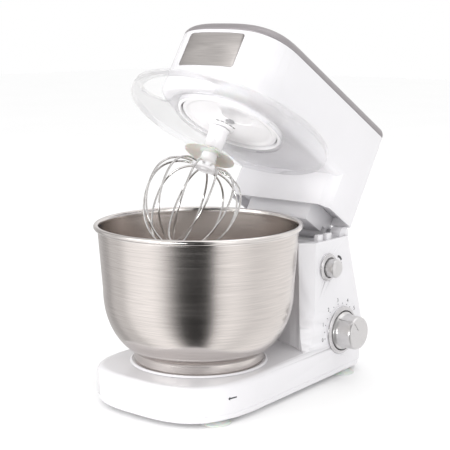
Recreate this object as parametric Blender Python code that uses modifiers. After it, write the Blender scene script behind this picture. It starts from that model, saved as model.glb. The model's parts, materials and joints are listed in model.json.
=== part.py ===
"""Tilt-head stand mixer with a steel bowl, a clear splash guard and a planetary whisk.

Frame: +Z up, the nose of the head towards -Y, the controls on the +X side. The origin is on
the table, under the middle of the machine with its head raised, which is how it is stored.
Lengths are in millimetres times MM. Positions count from the bowl's axis, and everything on
the head is laid out as it lies when the head is down: the head's empty then tilts it up.
"""
from math import cos, pi, radians, sin

import bmesh
import bpy
from mathutils import Matrix

MM = 0.001
CLEAR = 0.3 * MM            # gap kept between touching pieces
MERGE = 0.00005             # merge distance of the modifiers that weld

# Bowl
BOWL_RIM_R = 107.5 * MM     # outside of the rolled rim
BOWL_FOOT_R = 67.5 * MM
BOWL_HEIGHT = 143.0 * MM
BOWL_FOOT_H = 5.0 * MM
BOWL_BEAD = 2.6 * MM        # radius of the rolled rim
BOWL_SHEET = 1.0 * MM
BOWL_LEDGE = 4.2 * MM       # the rim stands out from the wall by this much
BOWL_TAPER = 4.7 * MM       # the wall narrows by this much down to the shoulder
BOWL_FOOT_T = 1.5 * MM
BOWL_SHOULDER = 75.0 * MM   # height of the rounded lower part

# Base and column
BASE_TOP = 41.0 * MM
BASE_SEAM = 12.0 * MM       # parting line between the housing and the bottom cover
BASE_BOTTOM = 4.5 * MM
BASE_HALF_W = 86.5 * MM
BASE_FRONT = 99.0 * MM
BASE_NOSE = 88.0 * MM       # length of the rounded front
BASE_REAR_HALF_W = 72.5 * MM
BASE_EDGE = 7.0 * MM        # rounding of the top edge
COLUMN_TOP = BASE_TOP + BOWL_HEIGHT - 28.0 * MM
COLUMN_HALF_W = 69.0 * MM
COLUMN_DRAFT = 0.041        # sides spread by this much per unit of depth below the top
COLUMN_FRONT = BOWL_RIM_R - 10.5 * MM
COLUMN_REAR = BOWL_RIM_R + 67.5 * MM
COLUMN_REAR_SLOPE = 0.25
BASE_REAR = COLUMN_REAR + COLUMN_REAR_SLOPE * (COLUMN_TOP - BASE_TOP) + 2.25 * MM
COLUMN_FRONT_SLOPE = 0.06
COLUMN_CHAMFER = 13.0 * MM
COLUMN_FLARE = 15.0 * MM
FLARE_FADE = 9.0 * MM
STAND_WALL = 3.0 * MM
SCOOP_GAP = 4.0 * MM        # room between the bowl's rim and the hollow front of the column
FOOT_R = 15.0 * MM
FOOT_SPOTS = ((68.0 * MM, -52.0 * MM), (62.0 * MM, BOWL_RIM_R + 62.5 * MM))
SEAT_R = 72.0 * MM
SEAT_H = 1.2 * MM
SEAT_LIP = 1.0 * MM
CAP_DEPTH = 12.0 * MM
POCKET_HALF_W = 47.0 * MM
POCKET_FRONT = BOWL_RIM_R + 13.5 * MM
POCKET_FLOOR = 3.0 * MM
LUG = (5.0 * MM, 9.0 * MM, 7.0 * MM)
LUG_X = 62.5 * MM
LUG_SPOTS = (BOWL_RIM_R + 16.5 * MM, BOWL_RIM_R + 32.5 * MM)

# Hinge
HINGE_Y = BOWL_RIM_R + 63.5 * MM
HINGE_Z = COLUMN_TOP + 0.5 * MM
TILT_DEG = 32.5
PIN_R = 4.0 * MM
KNUCKLE_R = 8.5 * MM
EAR_INNER = 50.0 * MM
EAR_OUTER = 63.0 * MM

# Head
GUARD_Z = COLUMN_TOP + 44.5 * MM  # top face of the guard when the head is down
DRUM_R = 57.5 * MM
HEAD_HALF_W = DRUM_R + 12.5 * MM
HEAD_NOSE = DRUM_R + 10.5 * MM
HEAD_NOSE_LEN = 60.0 * MM
HEAD_REAR = BOWL_RIM_R + 65.5 * MM
HEAD_FLOOR = COLUMN_TOP + 46.0 * MM
HEAD_WALL = 2.6 * MM
HEAD_CORNER = 7.0 * MM
SEAM_NOSE = COLUMN_TOP + 114.0 * MM  # height of the side and cover seam at the nose
SEAM_RISE = 0.027
NECK_FRONT = BOWL_RIM_R + 4.5 * MM
NECK_BOTTOM = COLUMN_TOP + 9.5 * MM
NECK_CHAMFER = 10.0 * MM
COVER_H = 15.5 * MM
COVER_EDGE = 9.0 * MM
COVER_WALL = 2.4 * MM
PLATE_HALF_W = 36.0 * MM
PLATE_LOW = 42.0 * MM       # below the seam
PLATE_HIGH = 3.8 * MM
PLATE_T = 0.8 * MM
BLOCK_HALF_W = 42.0 * MM
BLOCK_FRONT = BOWL_RIM_R + 16.5 * MM
BLOCK_BOTTOM = COLUMN_TOP - 5.0 * MM

# Drive
DRUM_WALL = 4.0 * MM
DRUM_BOTTOM = COLUMN_TOP + 40.0 * MM
DRUM_TOP = COLUMN_TOP + 66.0 * MM
DISC_GAP = 1.5 * MM
DISC_BOTTOM = COLUMN_TOP + 42.0 * MM
DISC_T = 4.0 * MM
GEAR_MODULE = 1.5 * MM
RING_TEETH = 52
PLANET_TEETH = 16
GEAR_T = 8.0 * MM
TOOL_ANGLE_DEG = 148.0      # from +X, where the tool shaft stands on the carrier
MAIN_SHAFT_R = 5.0 * MM
TOOL_SHAFT_R = 4.0 * MM
SHAFT_DEPTH = 18.0 * MM     # the tool shaft's length inside the hub
MOTOR_Y = BOWL_RIM_R + 10.5 * MM
MOTOR_R = 36.0 * MM
MOTOR_LOW = COLUMN_TOP + 51.0 * MM
MOTOR_HIGH = COLUMN_TOP + 87.0 * MM
ARMATURE_R = 19.0 * MM
MOTOR_SHAFT_R = 3.0 * MM
PULLEY_Z = COLUMN_TOP + 91.0 * MM
PULLEY_T = 9.0 * MM
DRIVEN_PULLEY_R = 36.0 * MM
MOTOR_PULLEY_R = 9.0 * MM
BELT_T = 1.6 * MM

# Whisk
WHISK_R = 50.0 * MM
WHISK_TIP = BASE_TOP + 12.0 * MM  # height of the lowest wire when the head is down
WHISK_WIDEST = COLUMN_TOP - 41.0 * MM
WIRE_R = 1.1 * MM
LOOPS = 6
LOOP_STEP = 2.6 * MM
HUB_TOP = COLUMN_TOP + 17.0 * MM
HUB_BOTTOM = COLUMN_TOP - 7.0 * MM
HUB_NECK_R = 9.0 * MM
HUB_R = 13.5 * MM           # the flange that holds the wires
HUB_FLANGE = 6.0 * MM
SHIELD_R = 28.0 * MM
SHIELD_Z = COLUMN_TOP + 12.0 * MM
SOCKET_R = 10.5 * MM

# Guard
GUARD_R = BOWL_RIM_R + 1.0 * MM
GUARD_T = 2.2 * MM
GUARD_SKIRT = 7.0 * MM
GUARD_COLLAR = 3.5 * MM
OPENING_INNER = DRUM_R + 7.5 * MM
OPENING_OUTER = 98.0 * MM
OPENING_FROM_DEG = 228.0    # from +X, counter-clockwise seen from above
OPENING_TO_DEG = 283.0

# Controls
DIAL_Y = BOWL_RIM_R + 44.3 * MM
DIAL_Z = BASE_TOP + 13.0 * MM
DIAL_RING_R = 26.4 * MM
KNOB_R = 18.0 * MM
KNOB_SKIRT_R = 21.0 * MM
KNOB_REACH = 24.0 * MM
BUTTON_Y = BOWL_RIM_R + 22.8 * MM
BUTTON_Z = COLUMN_TOP - 29.0 * MM
BUTTON_RING_R = 15.0 * MM
BUTTON_R = 10.0 * MM
BUTTON_REACH = 14.5 * MM
BUTTON_BACK = 14.0 * MM     # the button's length behind its bezel's seat
LATCH_T = 2.6 * MM
LATCH_PIN_R = 1.2 * MM
POINTER_DEG = 39.0          # the knob's rest position, from straight up towards the nose
BUTTON_TRAVEL = 6.0 * MM
RING_PROUD = 3.0 * MM
DIAL_BOSS = 1.6 * MM        # the dial's boss stands out of the column's foot by this much
GLAND_X = -38.0 * MM
GLAND_Z = 28.0 * MM
GLAND_R = 8.0 * MM
GLAND_BORE = 3.6 * MM

TOOL_OFFSET = GEAR_MODULE * (RING_TEETH - PLANET_TEETH) / 2
TOOL_X = TOOL_OFFSET * cos(radians(TOOL_ANGLE_DEG))
TOOL_Y = TOOL_OFFSET * sin(radians(TOOL_ANGLE_DEG))
BOWL_FLOOR_Z = BASE_TOP + SEAT_H + CLEAR
RIM_Z = BOWL_FLOOR_Z + BOWL_HEIGHT


def seam_height(y):
    """Height of the head's side and cover seam, which climbs towards the rear."""
    return SEAM_NOSE + SEAM_RISE * (y + HEAD_NOSE)


def origin_shift():
    """Y of the bowl's axis that puts the origin under the middle of the raised machine."""
    tilt = radians(TILT_DEG)
    y = HEAD_REAR - HINGE_Y
    z = seam_height(HEAD_REAR) + COVER_H * 0.5 - HINGE_Z
    rear = HINGE_Y + y * cos(tilt) + z * sin(tilt)
    return -(rear - BOWL_RIM_R) / 2


# ---------------------------------------------------------------- helpers

def clear_scene():
    for item in list(bpy.data.objects):
        bpy.data.objects.remove(item, do_unlink=True)


def new_collection(name):
    group = bpy.data.collections.new(name)
    bpy.context.scene.collection.children.link(group)
    return group


def new_material(name, colour, roughness, metallic=0.0, alpha=1.0):
    material = bpy.data.materials.new(name)
    material.use_nodes = True
    shader = material.node_tree.nodes["Principled BSDF"]
    shader.inputs["Base Color"].default_value = (*colour, 1.0)
    shader.inputs["Roughness"].default_value = roughness
    shader.inputs["Metallic"].default_value = metallic
    shader.inputs["Alpha"].default_value = alpha
    return material


clear_scene()
PARTS = new_collection("stand_mixer")
CUTTERS = new_collection("cutters")
WHITE = new_material("white_plastic", (0.86, 0.85, 0.87), 0.25)
COVER_GREY = new_material("silver_plastic", (0.42, 0.39, 0.40), 0.35, 0.6)
SATIN = new_material("satin_silver", (0.60, 0.59, 0.60), 0.3, 0.7)
STEEL = new_material("brushed_steel", (0.55, 0.52, 0.50), 0.3, 1.0)
WIRE = new_material("bright_steel", (0.75, 0.74, 0.73), 0.12, 1.0)
CLEAR_PLASTIC = new_material("clear_plastic", (0.93, 0.92, 0.97), 0.05, 0.0, 0.35)
RUBBER = new_material("soft_rubber", (0.80, 0.78, 0.74), 0.5)
BLACK = new_material("black_rubber", (0.03, 0.03, 0.03), 0.6)
COPPER = new_material("copper_winding", (0.60, 0.26, 0.10), 0.35, 1.0)
IRON = new_material("motor_iron", (0.30, 0.30, 0.31), 0.45, 1.0)
BRASS = new_material("bronze_bush", (0.60, 0.42, 0.18), 0.35, 1.0)
BOARD = new_material("circuit_board", (0.03, 0.22, 0.09), 0.5)


def empty(name, location, parent=None, tilt=0.0):
    item = bpy.data.objects.new(name, None)
    PARTS.objects.link(item)
    item.location = location
    item.rotation_euler = (tilt, 0.0, 0.0)
    item.parent = parent
    return item


def add_object(name, data, material, parent, location=(0, 0, 0), rotation=(0, 0, 0), cutter=False):
    """Link a piece, or a cutter, under its parent empty."""
    item = bpy.data.objects.new(name, data)
    (CUTTERS if cutter else PARTS).objects.link(item)
    item.parent = parent
    item.location = location
    item.rotation_euler = rotation
    if cutter:
        item.hide_render = True
        item.display_type = "WIRE"
    else:
        data.materials.append(material)
    return item


def mesh_from(bm, name):
    bmesh.ops.recalc_face_normals(bm, faces=bm.faces)
    mesh = bpy.data.meshes.new(name)
    bm.to_mesh(mesh)
    bm.free()
    return mesh


def box_mesh(name, low, high):
    bm = bmesh.new()
    bmesh.ops.create_cube(bm, size=1.0)
    for vert in bm.verts:
        for axis in range(3):
            vert.co[axis] = low[axis] if vert.co[axis] < 0 else high[axis]
    return mesh_from(bm, name)


def rod_mesh(name, radius, low, high, steps=32, axis="Z", top_radius=None):
    """A cylinder or a cone along an axis, from low to high."""
    bm = bmesh.new()
    bmesh.ops.create_cone(bm, cap_ends=True, segments=steps, radius1=radius,
                          radius2=radius if top_radius is None else top_radius, depth=high - low)
    bmesh.ops.translate(bm, verts=bm.verts, vec=(0, 0, (low + high) / 2))
    if axis == "X":
        bmesh.ops.rotate(bm, verts=bm.verts, matrix=Matrix.Rotation(pi / 2, 3, "Y"))
    if axis == "Y":
        bmesh.ops.rotate(bm, verts=bm.verts, matrix=Matrix.Rotation(-pi / 2, 3, "X"))
    return mesh_from(bm, name)


def loft_mesh(name, sections):
    """A closed solid through outlines with the same number of points, from the lowest up."""
    bm = bmesh.new()
    rings = [[bm.verts.new(point) for point in section] for section in sections]
    count = len(rings[0])
    for lower, upper in zip(rings, rings[1:]):
        for i in range(count):
            j = (i + 1) % count
            bm.faces.new((lower[i], lower[j], upper[j], upper[i]))
    bm.faces.new(rings[0])
    bm.faces.new(rings[-1])
    return mesh_from(bm, name)


def smooth(item):
    item.data.shade_smooth()
    item.data.set_sharp_from_angle(angle=radians(35))
    return item


def turned(name, profile, material, parent, location=(0, 0, 0), rotation=(0, 0, 0), steps=48,
           closed=False, cutter=False):
    """A turned piece: (radius, height) points down its outer side, about its own Z axis."""
    bm = bmesh.new()
    verts = [bm.verts.new((radius, 0, height)) for radius, height in profile]
    ends = verts[1:] + verts[:1] if closed else verts[1:]
    for a, b in zip(verts, ends):
        if a.co.x > 0 or b.co.x > 0:
            bm.edges.new((a, b))
    mesh = bpy.data.meshes.new(name)
    bm.to_mesh(mesh)
    bm.free()
    item = add_object(name, mesh, material, parent, location, rotation, cutter)
    screw = item.modifiers.new("turn", "SCREW")
    screw.steps = steps
    screw.render_steps = steps
    screw.use_merge_vertices = True
    screw.merge_threshold = MERGE
    screw.use_smooth_shade = True
    return item


def ring(name, inner, outer, low, high, material, parent, location=(0, 0, 0), rotation=(0, 0, 0),
         steps=48):
    """A plain ring or bush with a bore."""
    profile = [(outer, high), (outer, low), (inner, low), (inner, high)]
    return turned(name, profile, material, parent, location, rotation, steps, closed=True)


def boolean(item, tool, operation="DIFFERENCE"):
    step = item.modifiers.new(tool.name, "BOOLEAN")
    step.operation = operation
    step.solver = "EXACT"
    step.object = tool
    return item


def cutter(mesh, parent, location=(0, 0, 0), rotation=(0, 0, 0)):
    return add_object(mesh.name, mesh, None, parent, location, rotation, cutter=True)


def outline_curve(name, points, thickness, material, parent, location=(0, 0, 0), rotation=(0, 0, 0),
                  holes=()):
    """A flat outline with holes, as a filled 2D curve with the given thickness."""
    curve = bpy.data.curves.new(name, "CURVE")
    curve.dimensions = "2D"
    curve.fill_mode = "BOTH"
    curve.extrude = thickness / 2
    for loop in (points, *holes):
        spline = curve.splines.new("POLY")
        spline.points.add(len(loop) - 1)
        for point, (x, y) in zip(spline.points, loop):
            point.co = (x, y, 0, 1)
        spline.use_cyclic_u = True
    return add_object(name, curve, material, parent, location, rotation)


def wire_curve(name, points, radius, material, parent, location=(0, 0, 0), rotation=(0, 0, 0)):
    curve = bpy.data.curves.new(name, "CURVE")
    curve.dimensions = "3D"
    curve.bevel_depth = radius
    curve.bevel_resolution = 1
    curve.use_fill_caps = True
    spline = curve.splines.new("POLY")
    spline.points.add(len(points) - 1)
    for point, co in zip(spline.points, points):
        point.co = (*co, 1)
    return add_object(name, curve, material, parent, location, rotation)


def circle(radius, count, centre=(0, 0)):
    turn = [2 * pi * i / count for i in range(count)]
    return [(centre[0] + radius * cos(a), centre[1] + radius * sin(a)) for a in turn]


def signed_power(value, power):
    return abs(value) ** power * (1 if value >= 0 else -1)


def d_outline(half_w, front, nose_len, rear, rear_half_w, corner, square=3.0, steps=24):
    """A plan with a rounded, squarish front and a straight rear with rounded corners."""
    points = []
    for i in range(steps + 1):
        angle = pi + pi * i / steps
        x = half_w * signed_power(cos(angle), 2 / square)
        y = -front + nose_len + nose_len * signed_power(sin(angle), 2 / square)
        points.append((x, y))
    for side, start in ((1, 0.0), (-1, pi / 2)):
        for i in range(4):
            angle = start + pi / 2 * i / 3
            x = side * (rear_half_w - corner) + corner * cos(angle)
            points.append((x, rear - corner + corner * sin(angle)))
    return points


# ---------------------------------------------------------------- stand

def base_plan(inset):
    return d_outline(BASE_HALF_W - inset, BASE_FRONT - inset, BASE_NOSE - inset, BASE_REAR - inset,
                     BASE_REAR_HALF_W - inset, 22 * MM - inset)


def base_sections(inset, low, top, edge):
    """Outlines of the base from low to top, with a rounded top edge."""
    sections = [[(x, y, low) for x, y in base_plan(inset)]]
    for i in range(4):
        angle = pi / 2 * i / 3
        z = top - edge + edge * sin(angle)
        pull = inset + edge * (1 - cos(angle))
        sections.append([(x, y, z) for x, y in base_plan(pull)])
    return sections


def column_plan(z, inset):
    """Outline of the column at a height: a box with chamfered front corners, flared at its foot."""
    depth = COLUMN_TOP - z
    flare = COLUMN_FLARE * 2.718 ** (-(z - BASE_TOP) / FLARE_FADE) if z > BASE_TOP else COLUMN_FLARE
    half = COLUMN_HALF_W + COLUMN_DRAFT * depth - inset
    front = COLUMN_FRONT - COLUMN_FRONT_SLOPE * depth - flare + inset
    rear = COLUMN_REAR + COLUMN_REAR_SLOPE * depth - inset
    cut = COLUMN_CHAMFER - inset * 0.4
    round_r = 8 * MM - inset
    points = [(-half, front + cut), (-half + cut, front), (half - cut, front), (half, front + cut)]
    for side, start in ((1, 0.0), (-1, pi / 2)):
        for i in range(4):
            angle = start + pi / 2 * i / 3
            x = side * (half - round_r) + round_r * cos(angle)
            points.append((x, rear - round_r + round_r * sin(angle)))
    return points


def column_sections(inset, low, high):
    levels = [low] + [BASE_TOP + step * MM for step in (1, 5, 10, 18, 32)] + [high]
    return [[(x, y, z) for x, y in column_plan(z, inset)] for z in levels]


def wall_x(z):
    """X of the column's right side at a height."""
    return COLUMN_HALF_W + COLUMN_DRAFT * (COLUMN_TOP - z)


def dial_face():
    """X of the seat of the dial's bezel."""
    return wall_x(BASE_TOP) + DIAL_BOSS


def button_face():
    """X of the seat of the button's bezel."""
    return wall_x(BUTTON_Z - BUTTON_RING_R) + CLEAR


def scoop(item, stand, inset):
    """Hollow the column's front round the bowl."""
    radius = BOWL_RIM_R + SCOOP_GAP + inset
    tool = rod_mesh("scoop", radius, BASE_TOP - inset, COLUMN_TOP + 30 * MM, 48)
    return boolean(item, cutter(tool, stand))


def build_housing(stand):
    """White housing: the base's upper shell and the column, open below and at the column's top."""
    outer = loft_mesh("stand_housing", base_sections(0, BASE_SEAM, BASE_TOP, BASE_EDGE))
    housing = smooth(add_object("stand_housing", outer, WHITE, stand))
    column = cutter(loft_mesh("column_outer", column_sections(0, BASE_TOP - 9 * MM, COLUMN_TOP)), stand)
    scoop(column, stand, 0)
    boolean(housing, column, "UNION")
    wall = STAND_WALL
    inside = base_sections(wall, BASE_SEAM - 1 * MM, BASE_TOP - wall, BASE_EDGE - wall)
    boolean(housing, cutter(loft_mesh("base_inner", inside), stand))
    well = cutter(loft_mesh("column_inner", column_sections(wall, BASE_TOP - 9.5 * MM, COLUMN_TOP + 1 * MM)), stand)
    scoop(well, stand, wall)
    boolean(housing, well)
    for name, radius, face, y, z in (("dial", DIAL_RING_R, dial_face(), DIAL_Y, DIAL_Z),
                                     ("button", BUTTON_RING_R, button_face(), BUTTON_Y, BUTTON_Z)):
        boss = rod_mesh(name + "_boss", radius + 0.6 * MM, face - 8 * MM, face - CLEAR, 32, "X")
        boolean(housing, cutter(boss, stand, (0, y, z)), "UNION")
        seat = rod_mesh(name + "_seat", radius + CLEAR, face - CLEAR, face + 20 * MM, 32, "X")
        boolean(housing, cutter(seat, stand, (0, y, z)))
    for name, radius, y, z in (("dial_hole", 6 * MM, DIAL_Y, DIAL_Z),
                               ("button_hole", BUTTON_R + CLEAR, BUTTON_Y, BUTTON_Z)):
        hole = rod_mesh(name, radius, 50 * MM, 90 * MM, 32, "X")
        boolean(housing, cutter(hole, stand, (0, y, z)))
    reach = EAR_OUTER + CLEAR
    notch = box_mesh("hinge_notch", (-reach, HINGE_Y - KNUCKLE_R, HINGE_Z - KNUCKLE_R - CLEAR),
                     (reach, COLUMN_REAR + 20 * MM, COLUMN_TOP + 5 * MM))
    boolean(housing, cutter(notch, stand))
    gland = rod_mesh("gland_hole", GLAND_R - 2 * MM + CLEAR, 0, 60 * MM, 24, "Y")
    boolean(housing, cutter(gland, stand, (GLAND_X, BASE_REAR - 30 * MM, GLAND_Z)))
    return housing


def build_bottom_cover(stand):
    top = BASE_SEAM - CLEAR
    plan = [(x, y, BASE_BOTTOM) for x, y in base_plan(4 * MM)]
    rim = [(x, y, BASE_BOTTOM + 3 * MM) for x, y in base_plan(1.5 * MM)]
    upper = [(x, y, top) for x, y in base_plan(1.2 * MM)]
    cover = smooth(add_object("bottom_cover", loft_mesh("bottom_cover", [plan, rim, upper]), WHITE, stand))
    hollow = [[(x, y, z) for x, y in base_plan(STAND_WALL + 1.5 * MM)] for z in (BASE_BOTTOM + 3 * MM, BASE_SEAM + 2 * MM)]
    boolean(cover, cutter(loft_mesh("cover_hollow", hollow), stand))
    return cover


def build_feet(stand):
    """Four soft suction cups, each plugged under the bottom cover."""
    names = ("front", "rear")
    profile = [(0, BASE_BOTTOM - CLEAR), (FOOT_R * 0.5, BASE_BOTTOM - CLEAR), (FOOT_R * 0.62, 3.2 * MM),
               (FOOT_R, 1.0 * MM), (FOOT_R, 0), (FOOT_R - 1.6 * MM, 0), (FOOT_R * 0.5, 1.8 * MM), (0, 2.2 * MM)]
    for name, (x, y) in zip(names, FOOT_SPOTS):
        for side, label in ((1, "right"), (-1, "left")):
            turned(f"foot_{name}_{label}", profile, RUBBER, stand, (side * x, y, 0), steps=18)


def build_seat(stand):
    """The round seat that the bowl's foot twists into, with a low lip around the foot."""
    inner = BOWL_FOOT_R + 1.2 * MM
    top = BASE_TOP + SEAT_H
    low = BASE_TOP + CLEAR
    profile = [(0, top), (inner, top), (inner + 0.6 * MM, top + SEAT_LIP), (SEAT_R - 1 * MM, top + SEAT_LIP),
               (SEAT_R, low), (0, low)]
    return turned("bowl_seat", profile, WHITE, stand, steps=40)


def build_column_cap(stand):
    """Tray on the column's top, with the pocket for the head's block, lugs and hinge ears."""
    inset = STAND_WALL + CLEAR
    low = COLUMN_TOP - CAP_DEPTH
    sections = [[(x, y, z) for x, y in column_plan(z, inset)] for z in (low, COLUMN_TOP - 0.5 * MM)]
    cap = add_object("column_cap", loft_mesh("column_cap", sections), WHITE, stand)
    scoop(cap, stand, inset)
    for side in (1, -1):
        ear = rod_mesh("ear", KNUCKLE_R, -(EAR_OUTER - EAR_INNER) / 2, (EAR_OUTER - EAR_INNER) / 2, 32, "X")
        middle = side * (EAR_INNER + EAR_OUTER) / 2
        boolean(cap, cutter(ear, stand, (middle, HINGE_Y, HINGE_Z)), "UNION")
        for y in LUG_SPOTS:
            half = [size / 2 for size in LUG]
            lug = box_mesh("lug", (-half[0], -half[1], -3 * MM), (half[0], half[1], LUG[2]))
            boolean(cap, cutter(lug, stand, (side * LUG_X, y, COLUMN_TOP - 0.5 * MM)), "UNION")
    pocket = box_mesh("pocket", (-POCKET_HALF_W, POCKET_FRONT, low + POCKET_FLOOR),
                      (POCKET_HALF_W, COLUMN_REAR + 30 * MM, COLUMN_TOP + 20 * MM))
    boolean(cap, cutter(pocket, stand))
    bore = rod_mesh("pin_bore", PIN_R + CLEAR, -EAR_OUTER + 2 * MM, EAR_OUTER - 2 * MM, 24, "X")
    boolean(cap, cutter(bore, stand, (0, HINGE_Y, HINGE_Z)))
    return cap


def build_hinge_pin(stand):
    half = EAR_OUTER - 2 * MM - CLEAR
    pin = rod_mesh("hinge_pin", PIN_R, -half, half, 24, "X")
    return smooth(add_object("hinge_pin", pin, IRON, stand, (0, HINGE_Y, HINGE_Z)))


def build_control_rings(stand):
    """Silver bezels around the speed knob and the release button."""
    face = dial_face()
    profile = [(DIAL_RING_R - 2.5 * MM, RING_PROUD), (DIAL_RING_R, RING_PROUD - 1.2 * MM), (DIAL_RING_R, 0),
               (7 * MM, 0), (7 * MM, 1.0 * MM), (KNOB_SKIRT_R + 1.2 * MM, 1.0 * MM)]
    turned("dial_ring", profile, SATIN, stand, (face, DIAL_Y, DIAL_Z), (0, pi / 2, 0), steps=32, closed=True)
    face = button_face()
    profile = [(BUTTON_RING_R - 2 * MM, RING_PROUD), (BUTTON_RING_R, RING_PROUD - 1.2 * MM), (BUTTON_RING_R, 0),
               (BUTTON_R + CLEAR, 0), (BUTTON_R + 1.2 * MM, RING_PROUD - 0.6 * MM)]
    turned("release_ring", profile, SATIN, stand, (face, BUTTON_Y, BUTTON_Z), (0, pi / 2, 0), steps=24, closed=True)


def build_electrics(stand):
    """Speed switch behind the dial, control board, and the cord's inlet with its clamp."""
    switch = box_mesh("speed_switch", (46 * MM, -15 * MM, -15 * MM), (60 * MM, 15 * MM, 15 * MM))
    switch = add_object("speed_switch", switch, BLACK, stand, (0, DIAL_Y, DIAL_Z))
    bore = rod_mesh("switch_bore", 3 * MM + CLEAR, 48 * MM, 70 * MM, 24, "X")
    boolean(switch, cutter(bore, stand, (0, DIAL_Y, DIAL_Z)))
    board = box_mesh("control_board", (-30 * MM, 0, -22 * MM), (30 * MM, 1.6 * MM, 22 * MM))
    add_object("control_board", board, BOARD, stand, (-5 * MM, 150 * MM, 85 * MM))
    profile = [(GLAND_R - 3 * MM, 12 * MM), (GLAND_R, 5 * MM), (GLAND_R, 0), (GLAND_R - 2 * MM, 0),
               (GLAND_R - 2 * MM, -STAND_WALL - 3 * MM), (GLAND_BORE, -STAND_WALL - 3 * MM), (GLAND_BORE, 12 * MM)]
    turned("cord_gland", profile, BLACK, stand, (GLAND_X, BASE_REAR + CLEAR, GLAND_Z), (-pi / 2, 0, 0), steps=18,
           closed=True)


def build_base_screws(stand):
    """Self-tapping screws that hold the bottom cover."""
    profile = [(0, 11 * MM), (1.6 * MM, 10 * MM), (1.6 * MM, BASE_BOTTOM - CLEAR), (3.4 * MM, BASE_BOTTOM - CLEAR),
               (3.4 * MM, BASE_BOTTOM - 1.8 * MM), (0, BASE_BOTTOM - 2.2 * MM)]
    cover = bpy.data.objects["bottom_cover"]
    for number, (x, y) in enumerate(((30 * MM, -70 * MM), (-30 * MM, -70 * MM), (30 * MM, 185 * MM), (-30 * MM, 185 * MM)), 1):
        turned(f"base_screw_{number}", profile, IRON, stand, (x, y, 0), steps=12)
        hole = rod_mesh("screw_hole", 1.6 * MM + CLEAR, 0, 20 * MM, 12)
        boolean(cover, cutter(hole, stand, (x, y, 0)))


# ---------------------------------------------------------------- head

def head_plan(inset):
    corner = max(HEAD_CORNER - inset, 1 * MM)
    return d_outline(HEAD_HALF_W - inset, HEAD_NOSE - inset, HEAD_NOSE_LEN - inset, HEAD_REAR - inset,
                     HEAD_HALF_W - inset, corner)


def on_head(points, z):
    """Points of a plan at one height, in the head's frame."""
    return [(x, y - HINGE_Y, z - HINGE_Z) for x, y in points]


def on_seam(points, lift):
    """Points of a plan on the sloping seam, raised by lift."""
    return [(x, y - HINGE_Y, seam_height(y) + lift - HINGE_Z) for x, y in points]


def neck_plan(inset):
    half = HEAD_HALF_W - inset
    front = NECK_FRONT + inset
    rear = HEAD_REAR - inset
    cut = NECK_CHAMFER - inset * 0.4
    corner = HEAD_CORNER - inset
    points = [(-half, front + cut), (-half + cut, front), (half - cut, front), (half, front + cut)]
    for side, start in ((1, 0.0), (-1, pi / 2)):
        for i in range(4):
            angle = start + pi / 2 * i / 3
            points.append((side * (half - corner) + corner * cos(angle), rear - corner + corner * sin(angle)))
    return points


def build_head_shell(head):
    """White tub of the head with its neck: open at the seam, under the neck and at the drum."""
    outline = [on_head(head_plan(5 * MM), HEAD_FLOOR), on_head(head_plan(1.2 * MM), HEAD_FLOOR + 3 * MM),
               on_head(head_plan(0), HEAD_FLOOR + 8 * MM), on_seam(head_plan(0), 0)]
    shell = smooth(add_object("head_shell", loft_mesh("head_shell", outline), WHITE, head))
    neck = [on_head(neck_plan(0.02 * MM), NECK_BOTTOM), on_head(neck_plan(0.02 * MM), HEAD_FLOOR + 12 * MM)]
    boolean(shell, cutter(loft_mesh("neck_outer", neck), head), "UNION")
    wall = HEAD_WALL
    inside = [on_head(head_plan(wall + 3 * MM), HEAD_FLOOR + wall), on_head(head_plan(wall), HEAD_FLOOR + wall + 6 * MM),
              on_seam(head_plan(wall), 5 * MM)]
    boolean(shell, cutter(loft_mesh("head_inner", inside), head))
    throat = [on_head(neck_plan(wall + 0.1 * MM), NECK_BOTTOM - 2 * MM), on_head(neck_plan(wall + 0.1 * MM), HEAD_FLOOR + 9 * MM)]
    boolean(shell, cutter(loft_mesh("neck_inner", throat), head))
    hole = rod_mesh("drum_hole", DRUM_R + CLEAR, HEAD_FLOOR - HINGE_Z - 5 * MM, HEAD_FLOOR - HINGE_Z + 12 * MM, 48)
    boolean(shell, cutter(hole, head, (0, -HINGE_Y, 0)))
    boolean(shell, plate_cutter(head))
    return shell


def nose_strip(name, outer, inner, half_w, low, high):
    """A slab that follows the nose between two insets, half_w to each side."""
    points = []
    steps = 12
    for inset, order in ((outer, range(steps + 1)), (inner, range(steps, -1, -1))):
        half, depth = HEAD_HALF_W - inset, HEAD_NOSE_LEN - inset
        for i in order:
            x = half_w * (2 * i / steps - 1)
            y = -HEAD_NOSE + HEAD_NOSE_LEN - depth * (1 - abs(x / half) ** 3.0) ** (1 / 3.0)
            points.append((x, y))
    return loft_mesh(name, [on_seam(points, low), on_seam(points, high)])


def plate_cutter(head):
    return cutter(nose_strip("plate_recess", -3 * MM, PLATE_T + CLEAR, PLATE_HALF_W + CLEAR, -PLATE_LOW - CLEAR,
                             -PLATE_HIGH + CLEAR), head)


def build_front_plate(head):
    strip = nose_strip("front_plate", 0.1 * MM, PLATE_T, PLATE_HALF_W, -PLATE_LOW, -PLATE_HIGH)
    return smooth(add_object("front_plate", strip, STEEL, head))


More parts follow.
